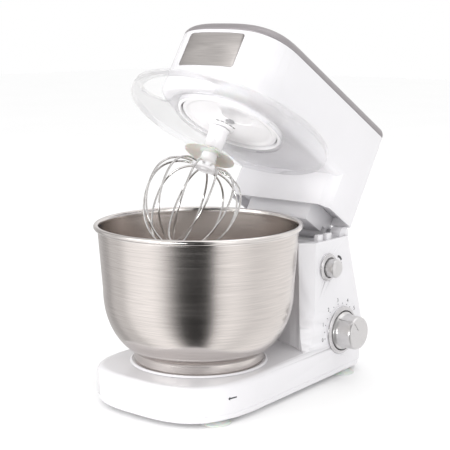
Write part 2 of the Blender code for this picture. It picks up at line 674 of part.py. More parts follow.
def build_top_cover(head):
    """Silver cover over the whole head, crowned and rounded at its edge."""
    def crowned(inset, share, hollow=0.0):
        points = head_plan(inset)
        return [(x, y - HINGE_Y, seam_height(y) + CLEAR + (COVER_H - hollow) * share - HINGE_Z) for x, y in points]

    outer = [crowned(0, 0)]
    for i in range(1, 5):
        angle = pi / 2 * i / 4
        outer.append(crowned(COVER_EDGE * (1 - cos(angle)) * 1.6, 0.82 * sin(angle)))
    outer.append(crowned(COVER_EDGE * 3.6, 1.0))
    cover = smooth(add_object("top_cover", loft_mesh("top_cover", outer), COVER_GREY, head))
    inner = [crowned(COVER_WALL, -0.3, COVER_WALL), crowned(COVER_WALL + 6 * MM, 0.75, COVER_WALL),
             crowned(COVER_EDGE * 4, 1.0, COVER_WALL)]
    boolean(cover, cutter(loft_mesh("cover_inner", inner), head))
    return cover


def build_hinge_block(head):
    """Block under the neck that carries the hinge knuckle and the latch's catch."""
    low = BLOCK_BOTTOM - HINGE_Z
    high = NECK_BOTTOM + 12 * MM - HINGE_Z
    rear = -KNUCKLE_R - 6 * MM
    body = box_mesh("hinge_block", (-BLOCK_HALF_W, BLOCK_FRONT - HINGE_Y, low), (BLOCK_HALF_W, rear, high))
    block = add_object("hinge_block", body, WHITE, head)
    arm = box_mesh("block_arm", (-BLOCK_HALF_W, rear - 4 * MM, 1 * MM), (BLOCK_HALF_W, -1 * MM, high))
    boolean(block, cutter(arm, head), "UNION")
    knuckle = rod_mesh("knuckle", KNUCKLE_R - 0.5 * MM, -BLOCK_HALF_W, BLOCK_HALF_W, 32, "X")
    boolean(block, cutter(knuckle, head), "UNION")
    hollow = box_mesh("block_hollow", (-BLOCK_HALF_W + 4 * MM, BLOCK_FRONT - HINGE_Y + 4 * MM, low + 4 * MM),
                      (BLOCK_HALF_W - 4 * MM, rear - 4 * MM, high + 1 * MM))
    boolean(block, cutter(hollow, head))
    bore = rod_mesh("block_bore", PIN_R + CLEAR, -BLOCK_HALF_W - 1 * MM, BLOCK_HALF_W + 1 * MM, 24, "X")
    boolean(block, cutter(bore, head))
    return block


def head_axis(z):
    """The tool head's main axis at a height, in the head's frame."""
    return (0, -HINGE_Y, z - HINGE_Z)


def motor_axis(z):
    return (0, MOTOR_Y - HINGE_Y, z - HINGE_Z)


def build_gearbox(head):
    """Drum under the nose: fixed housing of the planetary drive, with the bearing of the main shaft."""
    top = DRUM_TOP - DRUM_BOTTOM
    inner = DRUM_R - DRUM_WALL
    roof = top - 4 * MM
    bore = MAIN_SHAFT_R + 4 * MM
    profile = [(DRUM_R - 1 * MM, top), (DRUM_R, top - 1 * MM), (DRUM_R, 1 * MM), (DRUM_R - 1 * MM, 0), (inner, 0),
               (inner, roof), (bore, roof), (bore, top)]
    turned("gearbox_housing", profile, WHITE, head, head_axis(DRUM_BOTTOM), closed=True, steps=40)
    ring("main_bush", MAIN_SHAFT_R + CLEAR, bore - CLEAR, roof, top, BRASS, head, head_axis(DRUM_BOTTOM), steps=20)


def gear_outline(teeth, module, inside=False, phase=0.0):
    """Tooth outline with sloped flanks; inside gives the hole of a ring gear."""
    pitch = teeth * module / 2
    tip, root = 0.75 * module, 1.05 * module
    step = 2 * pi / teeth
    points = []
    for i in range(teeth):
        centre = phase + step * i
        if inside:
            marks = ((-0.25, root), (-0.13, -tip), (0.13, -tip), (0.25, root))
        else:
            marks = ((-0.24, -root), (-0.11, tip), (0.11, tip), (0.24, -root))
        for share, offset in marks:
            angle = centre + share * step
            radius = pitch + offset
            points.append((radius * cos(angle), radius * sin(angle)))
    return points


def gear_level():
    """Middle height of the planet gear and the fixed ring gear."""
    return DISC_BOTTOM + DISC_T + 1.5 * MM + GEAR_T / 2


def build_ring_gear(head):
    outer = circle(DRUM_R - DRUM_WALL - 2 * CLEAR, 48)
    phase = radians(TOOL_ANGLE_DEG) + pi / RING_TEETH
    teeth = gear_outline(RING_TEETH, GEAR_MODULE, True, phase)
    outline_curve("ring_gear", outer, GEAR_T, IRON, head, head_axis(gear_level()), holes=(teeth,))


def build_motor(head):
    """Universal motor with an upright shaft: frame plates, stator and its bearings."""
    low = MOTOR_LOW - HINGE_Z
    high = MOTOR_HIGH - HINGE_Z
    spot = (0, MOTOR_Y - HINGE_Y, 0)
    ring("stator_core", ARMATURE_R + 1 * MM, MOTOR_R, low + 8 * MM, high - 8 * MM, IRON, head, spot, steps=24)
    ring("stator_winding", ARMATURE_R + 3 * MM, MOTOR_R - 3 * MM, high - 8 * MM + CLEAR, high - 3 * MM, COPPER, head, spot, steps=24)
    ring("motor_end_plate", MOTOR_SHAFT_R + CLEAR, MOTOR_R + 2 * MM, low, low + 3 * MM, IRON, head, spot, steps=24)
    ring("motor_top_plate", MOTOR_SHAFT_R + CLEAR, MOTOR_R - 2 * MM, high - 2 * MM, high, IRON, head, spot, steps=24)


def belt_loop(extra, steps=20):
    """Outline of a band at a distance from both pulleys."""
    big, small = DRIVEN_PULLEY_R + extra, MOTOR_PULLEY_R + extra
    contact = (big - small) / MOTOR_Y
    loop = []
    for i in range(steps + 1):
        angle = contact - (pi + 2 * contact) * i / steps
        loop.append((big * cos(angle), big * sin(angle)))
    for i in range(steps // 2 + 1):
        angle = pi - contact - (pi - 2 * contact) * 2 * i / steps
        loop.append((small * cos(angle), MOTOR_Y + small * sin(angle)))
    return loop


def build_belt(head):
    """Drive belt, a band round both pulleys."""
    inner = belt_loop(CLEAR)
    outline_curve("drive_belt", belt_loop(CLEAR + BELT_T), 6 * MM, BLACK, head, head_axis(PULLEY_Z + PULLEY_T / 2),
                  holes=(inner,))


# ---------------------------------------------------------------- turning pieces

def build_carrier(drive):
    """Planet carrier: the white disc under the drum, its main shaft and the driven pulley."""
    disc_r = DRUM_R - DRUM_WALL - DISC_GAP
    low = DISC_BOTTOM - HINGE_Z
    disc = rod_mesh("planet_disc", disc_r, low, low + DISC_T, 40)
    disc = smooth(add_object("planet_disc", disc, WHITE, drive))
    for name, radius, spot in (("shaft_socket", MAIN_SHAFT_R + CLEAR, (0, 0)),
                               ("tool_hole", TOOL_SHAFT_R + CLEAR, (TOOL_X, TOOL_Y))):
        hole = rod_mesh(name, radius, low + (1.5 * MM if spot == (0, 0) else -1 * MM), low + DISC_T + 1 * MM, 24)
        boolean(disc, cutter(hole, drive, (*spot, 0)))
    shaft = rod_mesh("main_shaft", MAIN_SHAFT_R, low + 1.8 * MM, PULLEY_Z + PULLEY_T + 3 * MM - HINGE_Z, 24)
    smooth(add_object("main_shaft", shaft, STEEL, drive))
    ring("driven_pulley", MAIN_SHAFT_R + CLEAR, DRIVEN_PULLEY_R, 0, PULLEY_T, BLACK, drive,
         (0, 0, PULLEY_Z - HINGE_Z), steps=36)


def build_planet(tool):
    """Planet gear on the tool shaft, and the white socket that the tools plug into."""
    bore = circle(TOOL_SHAFT_R + CLEAR, 20)
    teeth = gear_outline(PLANET_TEETH, GEAR_MODULE, False, radians(TOOL_ANGLE_DEG))
    outline_curve("planet_gear", teeth, GEAR_T, BRASS, tool, (0, 0, gear_level() - HINGE_Z), holes=(bore,))
    top = gear_level() + GEAR_T / 2 + 1 * MM - HINGE_Z
    low = HUB_TOP - SHAFT_DEPTH + CLEAR - HINGE_Z
    smooth(add_object("tool_shaft", rod_mesh("tool_shaft", TOOL_SHAFT_R, low, top, 20), STEEL, tool))
    high = DISC_BOTTOM - 2 * CLEAR - HINGE_Z
    low = HUB_TOP + CLEAR - HINGE_Z
    profile = [(SOCKET_R - 1 * MM, high), (SOCKET_R, high - 1 * MM), (SOCKET_R, low + 1 * MM), (SOCKET_R - 1 * MM, low),
               (TOOL_SHAFT_R + CLEAR, low), (TOOL_SHAFT_R + CLEAR, high)]
    turned("tool_socket", profile, WHITE, tool, steps=24, closed=True)


def build_whisk(tool):
    """Whisk: hub, soft dough shield and nested wire loops that cross under the axis."""
    bore = TOOL_SHAFT_R + CLEAR
    top, low = HUB_TOP - HINGE_Z, HUB_BOTTOM - HINGE_Z
    profile = [(HUB_NECK_R, top), (HUB_NECK_R, low + HUB_FLANGE + 3 * MM), (HUB_R, low + HUB_FLANGE), (HUB_R, low + 2 * MM),
               (HUB_R - 3 * MM, low), (0, low), (0, top - SHAFT_DEPTH), (bore, top - SHAFT_DEPTH), (bore, top)]
    turned("whisk_hub", profile, WHITE, tool, steps=24, closed=True)
    z = SHIELD_Z - HINGE_Z
    inner = HUB_NECK_R + CLEAR
    profile = [(inner, z + 4 * MM), (inner + 3 * MM, z + 4 * MM), (SHIELD_R * 0.75, z + 1.6 * MM), (SHIELD_R, z - 2 * MM),
               (SHIELD_R - 0.8 * MM, z - 2.6 * MM), (SHIELD_R * 0.72, z + 0.6 * MM), (inner, z + 1.4 * MM)]
    turned("dough_shield", profile, RUBBER, tool, steps=30, closed=True)
    for number in range(LOOPS):
        build_loop(tool, number)


def build_loop(tool, number):
    """One wire: out of the hub's flange, down around its widest point and up on the other side."""
    start_r = HUB_R + CLEAR
    top = HUB_BOTTOM + HUB_FLANGE * 0.55 - HINGE_Z
    tip = WHISK_TIP + LOOP_STEP * number - HINGE_Z
    widest = WHISK_WIDEST - HINGE_Z
    steps = 6
    half = [(start_r, top)]
    for i in range(1, steps):
        angle = pi / 2 * i / steps
        half.append((start_r + (WHISK_R - start_r) * sin(angle) ** 0.95, widest + (top - widest) * cos(angle) ** 0.8))
    for i in range(steps + 1):
        angle = pi / 2 * i / steps
        half.append((WHISK_R * cos(angle), widest - (widest - tip) * sin(angle)))
    turn = pi * number / LOOPS
    points = [(r * cos(turn), r * sin(turn), z) for r, z in half]
    points += [(-r * cos(turn), -r * sin(turn), z) for r, z in reversed(half[:-1])]
    wire_curve(f"whisk_loop_{number + 1}", points, WIRE_R, WIRE, tool)


def build_rotor(rotor):
    """Armature with its shaft, the cooling fan under it and the pulley above."""
    low = MOTOR_LOW - HINGE_Z
    high = MOTOR_HIGH - HINGE_Z
    end = PULLEY_Z + PULLEY_T + 1.5 * MM - HINGE_Z
    r = MOTOR_SHAFT_R
    profile = [(0, end), (r, end), (r, high - 4 * MM), (ARMATURE_R * 0.5, high - 4 * MM), (ARMATURE_R * 0.5, high - 9 * MM),
               (ARMATURE_R, high - 10 * MM), (ARMATURE_R, low + 12 * MM), (r, low + 12 * MM), (r, low - 1 * MM), (0, low - 1 * MM)]
    turned("armature", profile, COPPER, rotor, steps=24)
    ring("motor_pulley", r + CLEAR, MOTOR_PULLEY_R, 0, PULLEY_T, IRON, rotor, (0, 0, PULLEY_Z - HINGE_Z), steps=20)
    ring("cooling_fan", r + CLEAR, ARMATURE_R - 2 * MM, low + 6 * MM, low + 10 * MM, BLACK, rotor, steps=24)


def build_knob(dial):
    """Speed knob with a pointer groove, on the switch's shaft."""
    face = 1.4 * MM
    profile = [(0, KNOB_REACH), (KNOB_R - 2 * MM, KNOB_REACH), (KNOB_R - 0.6 * MM, KNOB_REACH - 1 * MM),
               (KNOB_R, KNOB_REACH - 3 * MM), (KNOB_R + 0.8 * MM, face + 4 * MM), (KNOB_SKIRT_R, face + 2 * MM),
               (KNOB_SKIRT_R, face), (3 * MM + CLEAR, face), (3 * MM + CLEAR, KNOB_REACH - 6 * MM), (0, KNOB_REACH - 6 * MM)]
    knob = turned("speed_knob", profile, SATIN, dial, rotation=(0, pi / 2, 0), steps=32)
    groove = box_mesh("pointer_groove", (face + 3 * MM, -1 * MM, KNOB_R * 0.55), (KNOB_REACH + 1 * MM, 1 * MM, KNOB_R + 3 * MM))
    boolean(knob, cutter(groove, dial, (0, 0, 0), (radians(POINTER_DEG), 0, 0)))
    inner = 48.5 * MM - dial_face()
    shaft = rod_mesh("switch_shaft", 3 * MM, inner, KNOB_REACH - 6.3 * MM, 24, "X")
    smooth(add_object("switch_shaft", shaft, STEEL, dial))


def build_button(button):
    """Release button: a capped plunger with a flange inside the column."""
    back = -BUTTON_BACK
    profile = [(0, BUTTON_REACH), (BUTTON_R - 3 * MM, BUTTON_REACH), (BUTTON_R - 0.8 * MM, BUTTON_REACH - 1.2 * MM),
               (BUTTON_R, BUTTON_REACH - 3 * MM), (BUTTON_R, back), (0, back)]
    turned("release_button", profile, SATIN, button, rotation=(0, pi / 2, 0), steps=24)


def build_spring(stand):
    """Return spring behind the release button."""
    turns, steps = 4, 8
    low, high = button_face() - BUTTON_BACK - 22 * MM, button_face() - BUTTON_BACK - 1.2 * MM
    count = turns * steps
    points = []
    for i in range(count + 1):
        angle = 2 * pi * i / steps
        points.append((low + (high - low) * i / count, 6 * MM * cos(angle), 6 * MM * sin(angle)))
    wire_curve("release_spring", points, 0.7 * MM, IRON, stand, (0, BUTTON_Y, BUTTON_Z))


def latch_spot():
    """Pivot of the latch lever, beside the button's spring and under the column cap."""
    return (button_face() - BUTTON_BACK - 4 * MM, BUTTON_Y + 8.5 * MM, COLUMN_TOP - CAP_DEPTH - 2 * MM)


def build_latch(stand, latch):
    """Rocker that the button's inner end pushes at its foot, with a nose towards the head's block."""
    foot = BUTTON_Z - 3 * MM - latch_spot()[2]
    touch = 4 * MM - CLEAR
    top = 10.5 * MM
    nose = POCKET_HALF_W - 3.5 * MM - latch_spot()[0]
    waist = (0.4 * MM, -8 * MM)
    points = [(touch - 4 * MM, foot), (touch, foot), (touch, foot + 2 * MM), waist, (0.8 * MM, -4 * MM), (2.4 * MM, -1 * MM),
              (2.4 * MM, 1 * MM), (2 * MM, top), (nose, top), (nose, top - 3 * MM), (-2 * MM, top - 3 * MM),
              (-2.4 * MM, 0), (-2.6 * MM, waist[1])]
    outline_curve("latch_lever", points, LATCH_T, IRON, latch, rotation=(pi / 2, 0, 0),
                  holes=(circle(LATCH_PIN_R + CLEAR, 12),))
    x, y, z = latch_spot()
    cap = bpy.data.objects["column_cap"]
    for side in (1, -1):
        near, far = side * (LATCH_T / 2 + CLEAR), side * (LATCH_T / 2 + 3 * MM)
        bracket = box_mesh("bracket", (-4 * MM, min(near, far), -4 * MM), (4 * MM, max(near, far), 2.5 * MM))
        boolean(cap, cutter(bracket, stand, (x, y, z)), "UNION")
    slot = box_mesh("latch_slot", (nose - 1 * MM, -LATCH_T / 2 - CLEAR, 1.5 * MM), (7 * MM, LATCH_T / 2 + CLEAR, 16 * MM))
    boolean(cap, cutter(slot, stand, (x, y, z)))
    half = LATCH_T / 2 + 3 * MM
    bore = rod_mesh("latch_bore", LATCH_PIN_R + CLEAR, -half - 1 * MM, half + 1 * MM, 12, "Y")
    boolean(cap, cutter(bore, stand, (x, y, z)))
    pin = rod_mesh("latch_pin", LATCH_PIN_R, -half, half, 12, "Y")
    smooth(add_object("latch_pin", pin, STEEL, stand, (x, y, z)))


# ---------------------------------------------------------------- bowl and guard

def bowl_wall(inset):
    """(radius, height) points of the bowl's wall from under the rim to its bottom."""
    top_r = BOWL_RIM_R - BOWL_LEDGE - inset
    low_r = top_r - BOWL_TAPER
    high = BOWL_HEIGHT - 2.3 * BOWL_BEAD
    points = [(top_r - BOWL_TAPER * i / 2, high - (high - BOWL_SHOULDER) * i / 2) for i in range(2)]
    core = BOWL_FOOT_R - 28 * MM
    depth = BOWL_SHOULDER - BOWL_FOOT_H + BOWL_SHEET - inset
    for i in range(9):
        angle = pi / 2 * i / 8
        points.append((core + (low_r - core) * cos(angle) ** 0.9, BOWL_SHOULDER - depth * sin(angle) ** 0.95))
    return points


def wall_height(wall, radius):
    """Height of the wall's underside at a radius."""
    for (r1, z1), (r2, z2) in zip(wall, wall[1:]):
        if r2 <= radius <= r1:
            return z1 + (z2 - z1) * (r1 - radius) / (r1 - r2)
    return wall[-1][1]


def build_bowl(bowl):
    """Pressed steel bowl with a rolled rim, and the foot ring that is welded under it."""
    outer = bowl_wall(0)
    inner = bowl_wall(BOWL_SHEET)
    middle = BOWL_RIM_R - BOWL_BEAD
    top = BOWL_HEIGHT - BOWL_BEAD
    bead = [radians(angle) for angle in range(150, -106, -51)]
    profile = [(middle + BOWL_BEAD * cos(angle), top + BOWL_BEAD * sin(angle)) for angle in bead]
    profile += outer + [(0, outer[-1][1]), (0, inner[-1][1])] + list(reversed(inner))
    turned("bowl", profile, STEEL, bowl, steps=40, closed=True)
    foot_inner = BOWL_FOOT_R - BOWL_FOOT_T
    profile = [(BOWL_FOOT_R, wall_height(outer, BOWL_FOOT_R) - 2 * CLEAR), (BOWL_FOOT_R, 0), (foot_inner, 0),
               (foot_inner, wall_height(outer, foot_inner) - 2 * CLEAR)]
    turned("bowl_foot", profile, STEEL, bowl, steps=40, closed=True)


def build_guard(guard):
    """Clear splash guard: plate, hanging rim, collar round the drum and a feed opening."""
    skirt = GUARD_SKIRT
    inner = DRUM_R + 1 * MM
    collar = inner + 2 * MM
    profile = [(GUARD_R - 0.8 * MM, 0), (GUARD_R, -0.8 * MM), (GUARD_R, -skirt), (GUARD_R - GUARD_T, -skirt),
               (GUARD_R - GUARD_T, -GUARD_T), (collar, -GUARD_T), (collar, -GUARD_T - GUARD_COLLAR), (inner, -GUARD_T - GUARD_COLLAR),
               (inner, 0)]
    plate = turned("splash_guard", profile, CLEAR_PLASTIC, guard, steps=40, closed=True)
    boolean(plate, opening_cutter(guard))


def opening_cutter(guard):
    """Kidney-shaped opening with round ends, between two radii."""
    middle = (OPENING_INNER + OPENING_OUTER) / 2
    half = (OPENING_OUTER - OPENING_INNER) / 2
    start, end = radians(OPENING_FROM_DEG), radians(OPENING_TO_DEG)
    points = []
    steps = 10
    for i in range(steps + 1):
        angle = start + (end - start) * i / steps
        points.append((OPENING_OUTER * cos(angle), OPENING_OUTER * sin(angle)))
    for i in range(1, steps):
        angle = end + pi * i / steps
        points.append((middle * cos(end) + half * cos(angle), middle * sin(end) + half * sin(angle)))
    for i in range(steps + 1):
        angle = end - (end - start) * i / steps
        points.append((OPENING_INNER * cos(angle), OPENING_INNER * sin(angle)))
    for i in range(1, steps):
        angle = start + pi + pi * i / steps
        points.append((middle * cos(start) + half * cos(angle), middle * sin(start) + half * sin(angle)))
    sections = [[(x, y, z) for x, y in points] for z in (-8 * MM, 3 * MM)]
    return cutter(loft_mesh("feed_opening", sections), guard)


def main():
    stand = empty("stand_origin", (0, origin_shift(), 0))
    build_housing(stand)
    build_bottom_cover(stand)
    build_feet(stand)
    build_seat(stand)
    build_column_cap(stand)
    build_hinge_pin(stand)
    build_control_rings(stand)
    build_electrics(stand)
    build_base_screws(stand)
    build_spring(stand)
    build_latch(stand, empty("latch_axis", latch_spot(), stand))
    build_knob(empty("dial_axis", (dial_face(), DIAL_Y, DIAL_Z), stand))
    build_button(empty("button_axis", (button_face(), BUTTON_Y, BUTTON_Z), stand))
    build_bowl(empty("bowl_axis", (0, 0, BOWL_FLOOR_Z), stand))

    head = empty("head_axis", (0, HINGE_Y, HINGE_Z), stand, -radians(TILT_DEG))
    build_head_shell(head)
    build_front_plate(head)
    build_top_cover(head)
    build_hinge_block(head)
    build_gearbox(head)
    build_ring_gear(head)
    build_motor(head)
    build_belt(head)
    build_rotor(empty("motor_axis", (0, MOTOR_Y - HINGE_Y, 0), head))
    drive = empty("drive_axis", (0, -HINGE_Y, 0), head)
    build_carrier(drive)
    tool = empty("tool_axis", (TOOL_X, TOOL_Y, 0), drive)
    build_planet(tool)
    build_whisk(tool)
    build_guard(empty("guard_axis", (0, -HINGE_Y, GUARD_Z - HINGE_Z), head))


main()
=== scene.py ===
"""Looks of a tilt-head stand mixer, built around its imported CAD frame."""
import json
from math import atan2, cos, exp, pi, radians, sin

import bmesh
import bpy
from mathutils import Matrix, Vector


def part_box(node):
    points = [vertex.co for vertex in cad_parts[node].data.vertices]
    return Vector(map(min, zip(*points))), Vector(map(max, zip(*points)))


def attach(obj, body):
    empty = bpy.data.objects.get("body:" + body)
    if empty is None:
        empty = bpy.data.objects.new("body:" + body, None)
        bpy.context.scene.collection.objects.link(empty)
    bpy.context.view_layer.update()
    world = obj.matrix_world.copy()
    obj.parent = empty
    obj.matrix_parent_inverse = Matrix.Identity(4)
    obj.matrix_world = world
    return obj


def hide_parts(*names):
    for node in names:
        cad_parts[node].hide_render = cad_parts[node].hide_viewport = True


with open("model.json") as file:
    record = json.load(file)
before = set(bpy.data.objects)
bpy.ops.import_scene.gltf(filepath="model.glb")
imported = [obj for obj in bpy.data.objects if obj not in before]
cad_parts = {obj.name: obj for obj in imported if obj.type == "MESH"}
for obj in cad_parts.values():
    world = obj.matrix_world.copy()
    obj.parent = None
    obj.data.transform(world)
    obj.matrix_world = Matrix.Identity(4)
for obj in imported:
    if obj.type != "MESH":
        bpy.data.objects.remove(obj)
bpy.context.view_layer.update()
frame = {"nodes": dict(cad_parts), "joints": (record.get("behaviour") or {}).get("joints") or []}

MM = 0.001
CLEAR = 0.3 * MM
JOINTS = {joint["name"]: joint for joint in frame["joints"]}
TILT = radians(JOINTS["head_tilt"]["range_deg"][1])
HINGE = Vector(JOINTS["head_tilt"]["pos_m"])
BOWL_SPOT = Vector(JOINTS["bowl_twist"]["pos_m"])
LEAN = Matrix.Rotation(-TILT, 4, "X")
STAND = Matrix.Translation((0, BOWL_SPOT.y, 0))
HEAD = Matrix.Translation(HINGE) @ LEAN
BOWL = Matrix.Translation(BOWL_SPOT)
GUARD = Matrix.Translation(Vector(JOINTS["guard_twist"]["pos_m"])) @ LEAN
TOOL = Matrix.Translation(Vector(JOINTS["planet_spin"]["pos_m"])) @ LEAN
DRIVE = Matrix.Translation(Vector(JOINTS["tool_drive"]["pos_m"])) @ LEAN
DIAL = Matrix.Translation(Vector(JOINTS["speed_dial"]["pos_m"]))

# Stand, measured from the bowl's axis; x to the right, y to the rear, z up.
BASE_TOP = 41.0 * MM
BASE_SEAM = 12.0 * MM
BASE_BOTTOM = 4.5 * MM
BASE_HALF_W = 86.5 * MM
BASE_FRONT = 99.0 * MM
BASE_NOSE = 88.0 * MM
BASE_REAR_HALF_W = 72.5 * MM
BASE_REAR = 206.0 * MM
BASE_EDGE = 7.0 * MM
COLUMN_TOP = 156.0 * MM
COLUMN_HALF_W = 69.0 * MM
COLUMN_DRAFT = 0.041
COLUMN_FRONT = 97.0 * MM
COLUMN_REAR = 175.0 * MM
COLUMN_REAR_SLOPE = 0.25
COLUMN_FRONT_SLOPE = 0.06
COLUMN_CHAMFER = 13.0 * MM
COLUMN_FLARE = 15.0 * MM
FLARE_FADE = 9.0 * MM
STAND_WALL = 3.0 * MM
SCOOP_R = 111.5 * MM
CAP_DEPTH = 12.0 * MM
POCKET_HALF_W = 47.0 * MM
POCKET_FRONT = 121.0 * MM
FOOT_R = 15.0 * MM
EAR = (50.0 * MM, 63.0 * MM)
KNUCKLE_R = 8.5 * MM
PIN_R = 4.0 * MM
LUG = Vector((5.0, 9.0, 7.0)) * MM
LUG_X = 62.5 * MM
LUG_SPOTS = (124.0 * MM, 140.0 * MM)
DIAL_RING_R = 26.4 * MM
BUTTON_RING_R = 15.0 * MM
BUTTON_R = 10.0 * MM
BUTTON_REACH = 14.5 * MM
BUTTON_BACK = 14.0 * MM
RING_PROUD = 3.0 * MM
KNOB_R = 18.0 * MM
KNOB_SKIRT_R = 21.0 * MM
KNOB_REACH = 24.0 * MM
POINTER_DEG = 39.0

# Bowl
BOWL_RIM_R = 107.5 * MM
BOWL_HEIGHT = 143.0 * MM
BOWL_BEAD = 2.6 * MM
BOWL_FOOT_R = 67.5 * MM
BOWL_FOOT_T = 1.5 * MM
BOWL_FOOT_H = 5.0 * MM
BOWL_LEDGE = 4.2 * MM
BOWL_TAPER = 4.7 * MM
BOWL_SHOULDER = 75.0 * MM
BOWL_SHEET = 1.0 * MM

# Head, laid out lowered; heights from the table.
HINGE_Y = HINGE.y - BOWL_SPOT.y
HINGE_Z = HINGE.z
HEAD_HALF_W = 70.0 * MM
HEAD_NOSE = 68.0 * MM
HEAD_NOSE_LEN = 60.0 * MM
HEAD_REAR = 173.0 * MM
HEAD_FLOOR = 202.0 * MM
HEAD_WALL = 2.6 * MM
HEAD_CORNER = 7.0 * MM
SEAM_NOSE = 270.0 * MM
SEAM_RISE = 0.027
NECK_FRONT = 112.0 * MM
NECK_BOTTOM = 165.5 * MM
NECK_CHAMFER = 10.0 * MM
COVER_H = 14.7 * MM
COVER_EDGE = 9.0 * MM
COVER_WALL = 2.4 * MM
PLATE_HALF_W = 36.0 * MM
PLATE_LOW = 42.0 * MM
PLATE_HIGH = 3.8 * MM
PLATE_T = 0.8 * MM
PLATE_CORNER = 3.0 * MM
BLOCK_HALF_W = 42.0 * MM
BLOCK_FRONT = 124.0 * MM
BLOCK_BOTTOM = 151.0 * MM
DRUM_R = 57.5 * MM
DRUM_WALL = 4.0 * MM
DRUM_BOTTOM = 196.0 * MM
DRUM_TOP = 222.0 * MM
DISC_GAP = 1.5 * MM
DISC_BOTTOM = 198.0 * MM
GUARD_R = 108.5 * MM
GUARD_T = 2.2 * MM
GUARD_SKIRT = 7.0 * MM
OPENING = (65.0 * MM, 98.0 * MM)
OPENING_DEG = (228.0, 283.0)

# Whisk
WHISK_R = 50.0 * MM
WHISK_TIP = 53.0 * MM
WHISK_WIDEST = 115.0 * MM
WIRE_R = 1.1 * MM
LOOPS = 6
LOOP_STEP = 2.6 * MM
HUB_TOP = 173.0 * MM
HUB_BOTTOM = 149.0 * MM
HUB_NECK_R = 9.0 * MM
HUB_R = 13.5 * MM
HUB_FLANGE = 6.0 * MM
SHIELD_R = 28.0 * MM
SHIELD_Z = 168.0 * MM
SOCKET_R = 10.5 * MM
TOOL_SHAFT_R = 4.0 * MM
SHAFT_DEPTH = 18.0 * MM


# ---------------------------------------------------------------- materials

def add_node(tree, kind, **settings):
    node = tree.nodes.new(kind)
    for key, value in settings.items():
        if key in node.inputs:
            node.inputs[key].default_value = value
        else:
            setattr(node, key, value)
    return node


def new_shader(name, colour, roughness, metallic=0.0, **sockets):
    """A material and its Principled shader; other sockets are given by their names with _ for spaces."""
    material = bpy.data.materials.new(name)
    material.use_nodes = True
    shader = material.node_tree.nodes["Principled BSDF"]
    shader.inputs["Base Color"].default_value = (*colour, 1.0)
    shader.inputs["Roughness"].default_value = roughness
    shader.inputs["Metallic"].default_value = metallic
    for key, value in sockets.items():
        shader.inputs[key.replace("_", " ")].default_value = value
    return material, shader


def grain(tree, scale, stretch=(1, 1, 1), detail=3.0, source="Object", vector=None):
    """Noise from the piece's own coordinates, stretched along its axes."""
    if vector is None:
        vector = add_node(tree, "ShaderNodeTexCoord").outputs[source]
    mapping = add_node(tree, "ShaderNodeMapping")
    mapping.inputs["Scale"].default_value = stretch
    tree.links.new(vector, mapping.inputs["Vector"])
    noise = add_node(tree, "ShaderNodeTexNoise")
    noise.inputs["Scale"].default_value = scale
    noise.inputs["Detail"].default_value = detail
    tree.links.new(mapping.outputs["Vector"], noise.inputs["Vector"])
    return noise.outputs["Fac"]


def spread(tree, value, low, high):
    """Maps a 0 to 1 value to low to high."""
    node = add_node(tree, "ShaderNodeMapRange")
    node.inputs["From Min"].default_value = 0.25
    node.inputs["From Max"].default_value = 0.75
    node.inputs["To Min"].default_value = low
    node.inputs["To Max"].default_value = high
    tree.links.new(value, node.inputs["Value"])
    return node.outputs["Result"]


def tint(tree, value, dark, light):
    ramp = add_node(tree, "ShaderNodeValToRGB")
    ramp.color_ramp.elements[0].position = 0.3
    ramp.color_ramp.elements[0].color = (*dark, 1)
    ramp.color_ramp.elements[1].position = 0.7
    ramp.color_ramp.elements[1].color = (*light, 1)
    tree.links.new(value, ramp.inputs["Fac"])
    return ramp.outputs["Color"]


def bump(tree, shader, height, strength, distance):
    node = add_node(tree, "ShaderNodeBump")
    node.inputs["Strength"].default_value = strength
    node.inputs["Distance"].default_value = distance
    tree.links.new(height, node.inputs["Height"])
    tree.links.new(node.outputs["Normal"], shader.inputs["Normal"])


def scaled(colour, factor):
    return tuple(min(1.0, part * factor) for part in colour)


def moulded(name, colour, roughness, texture=0.04, size=900.0, **sockets):
    """Moulded plastic: slow colour drift, uneven gloss and a faint moulded texture."""
    material, shader = new_shader(name, colour, roughness, **sockets)
    tree = material.node_tree
    drift = grain(tree, 14.0)
    tree.links.new(tint(tree, drift, scaled(colour, 0.985), scaled(colour, 1.01)),
                   shader.inputs["Base Color"])
    tree.links.new(spread(tree, grain(tree, 60.0), roughness * 0.85, roughness * 1.2),
                   shader.inputs["Roughness"])
    bump(tree, shader, grain(tree, size, detail=2.0), texture, 0.0002)
    return material


def around_axis(tree):
    """(angle, radius, height) about the piece's own Z axis."""
    source = add_node(tree, "ShaderNodeTexCoord").outputs["Object"]
    parts = add_node(tree, "ShaderNodeSeparateXYZ")
    tree.links.new(source, parts.inputs["Vector"])
    angle = add_node(tree, "ShaderNodeMath", operation="ARCTAN2")
    tree.links.new(parts.outputs["Y"], angle.inputs[0])
    tree.links.new(parts.outputs["X"], angle.inputs[1])
    flat = add_node(tree, "ShaderNodeCombineXYZ")
    tree.links.new(parts.outputs["X"], flat.inputs["X"])
    tree.links.new(parts.outputs["Y"], flat.inputs["Y"])
    radius = add_node(tree, "ShaderNodeVectorMath", operation="LENGTH")
    tree.links.new(flat.outputs["Vector"], radius.inputs[0])
    join = add_node(tree, "ShaderNodeCombineXYZ")
    tree.links.new(angle.outputs["Value"], join.inputs["X"])
    tree.links.new(radius.outputs["Value"], join.inputs["Y"])
    tree.links.new(parts.outputs["Z"], join.inputs["Z"])
    return join.outputs["Vector"]


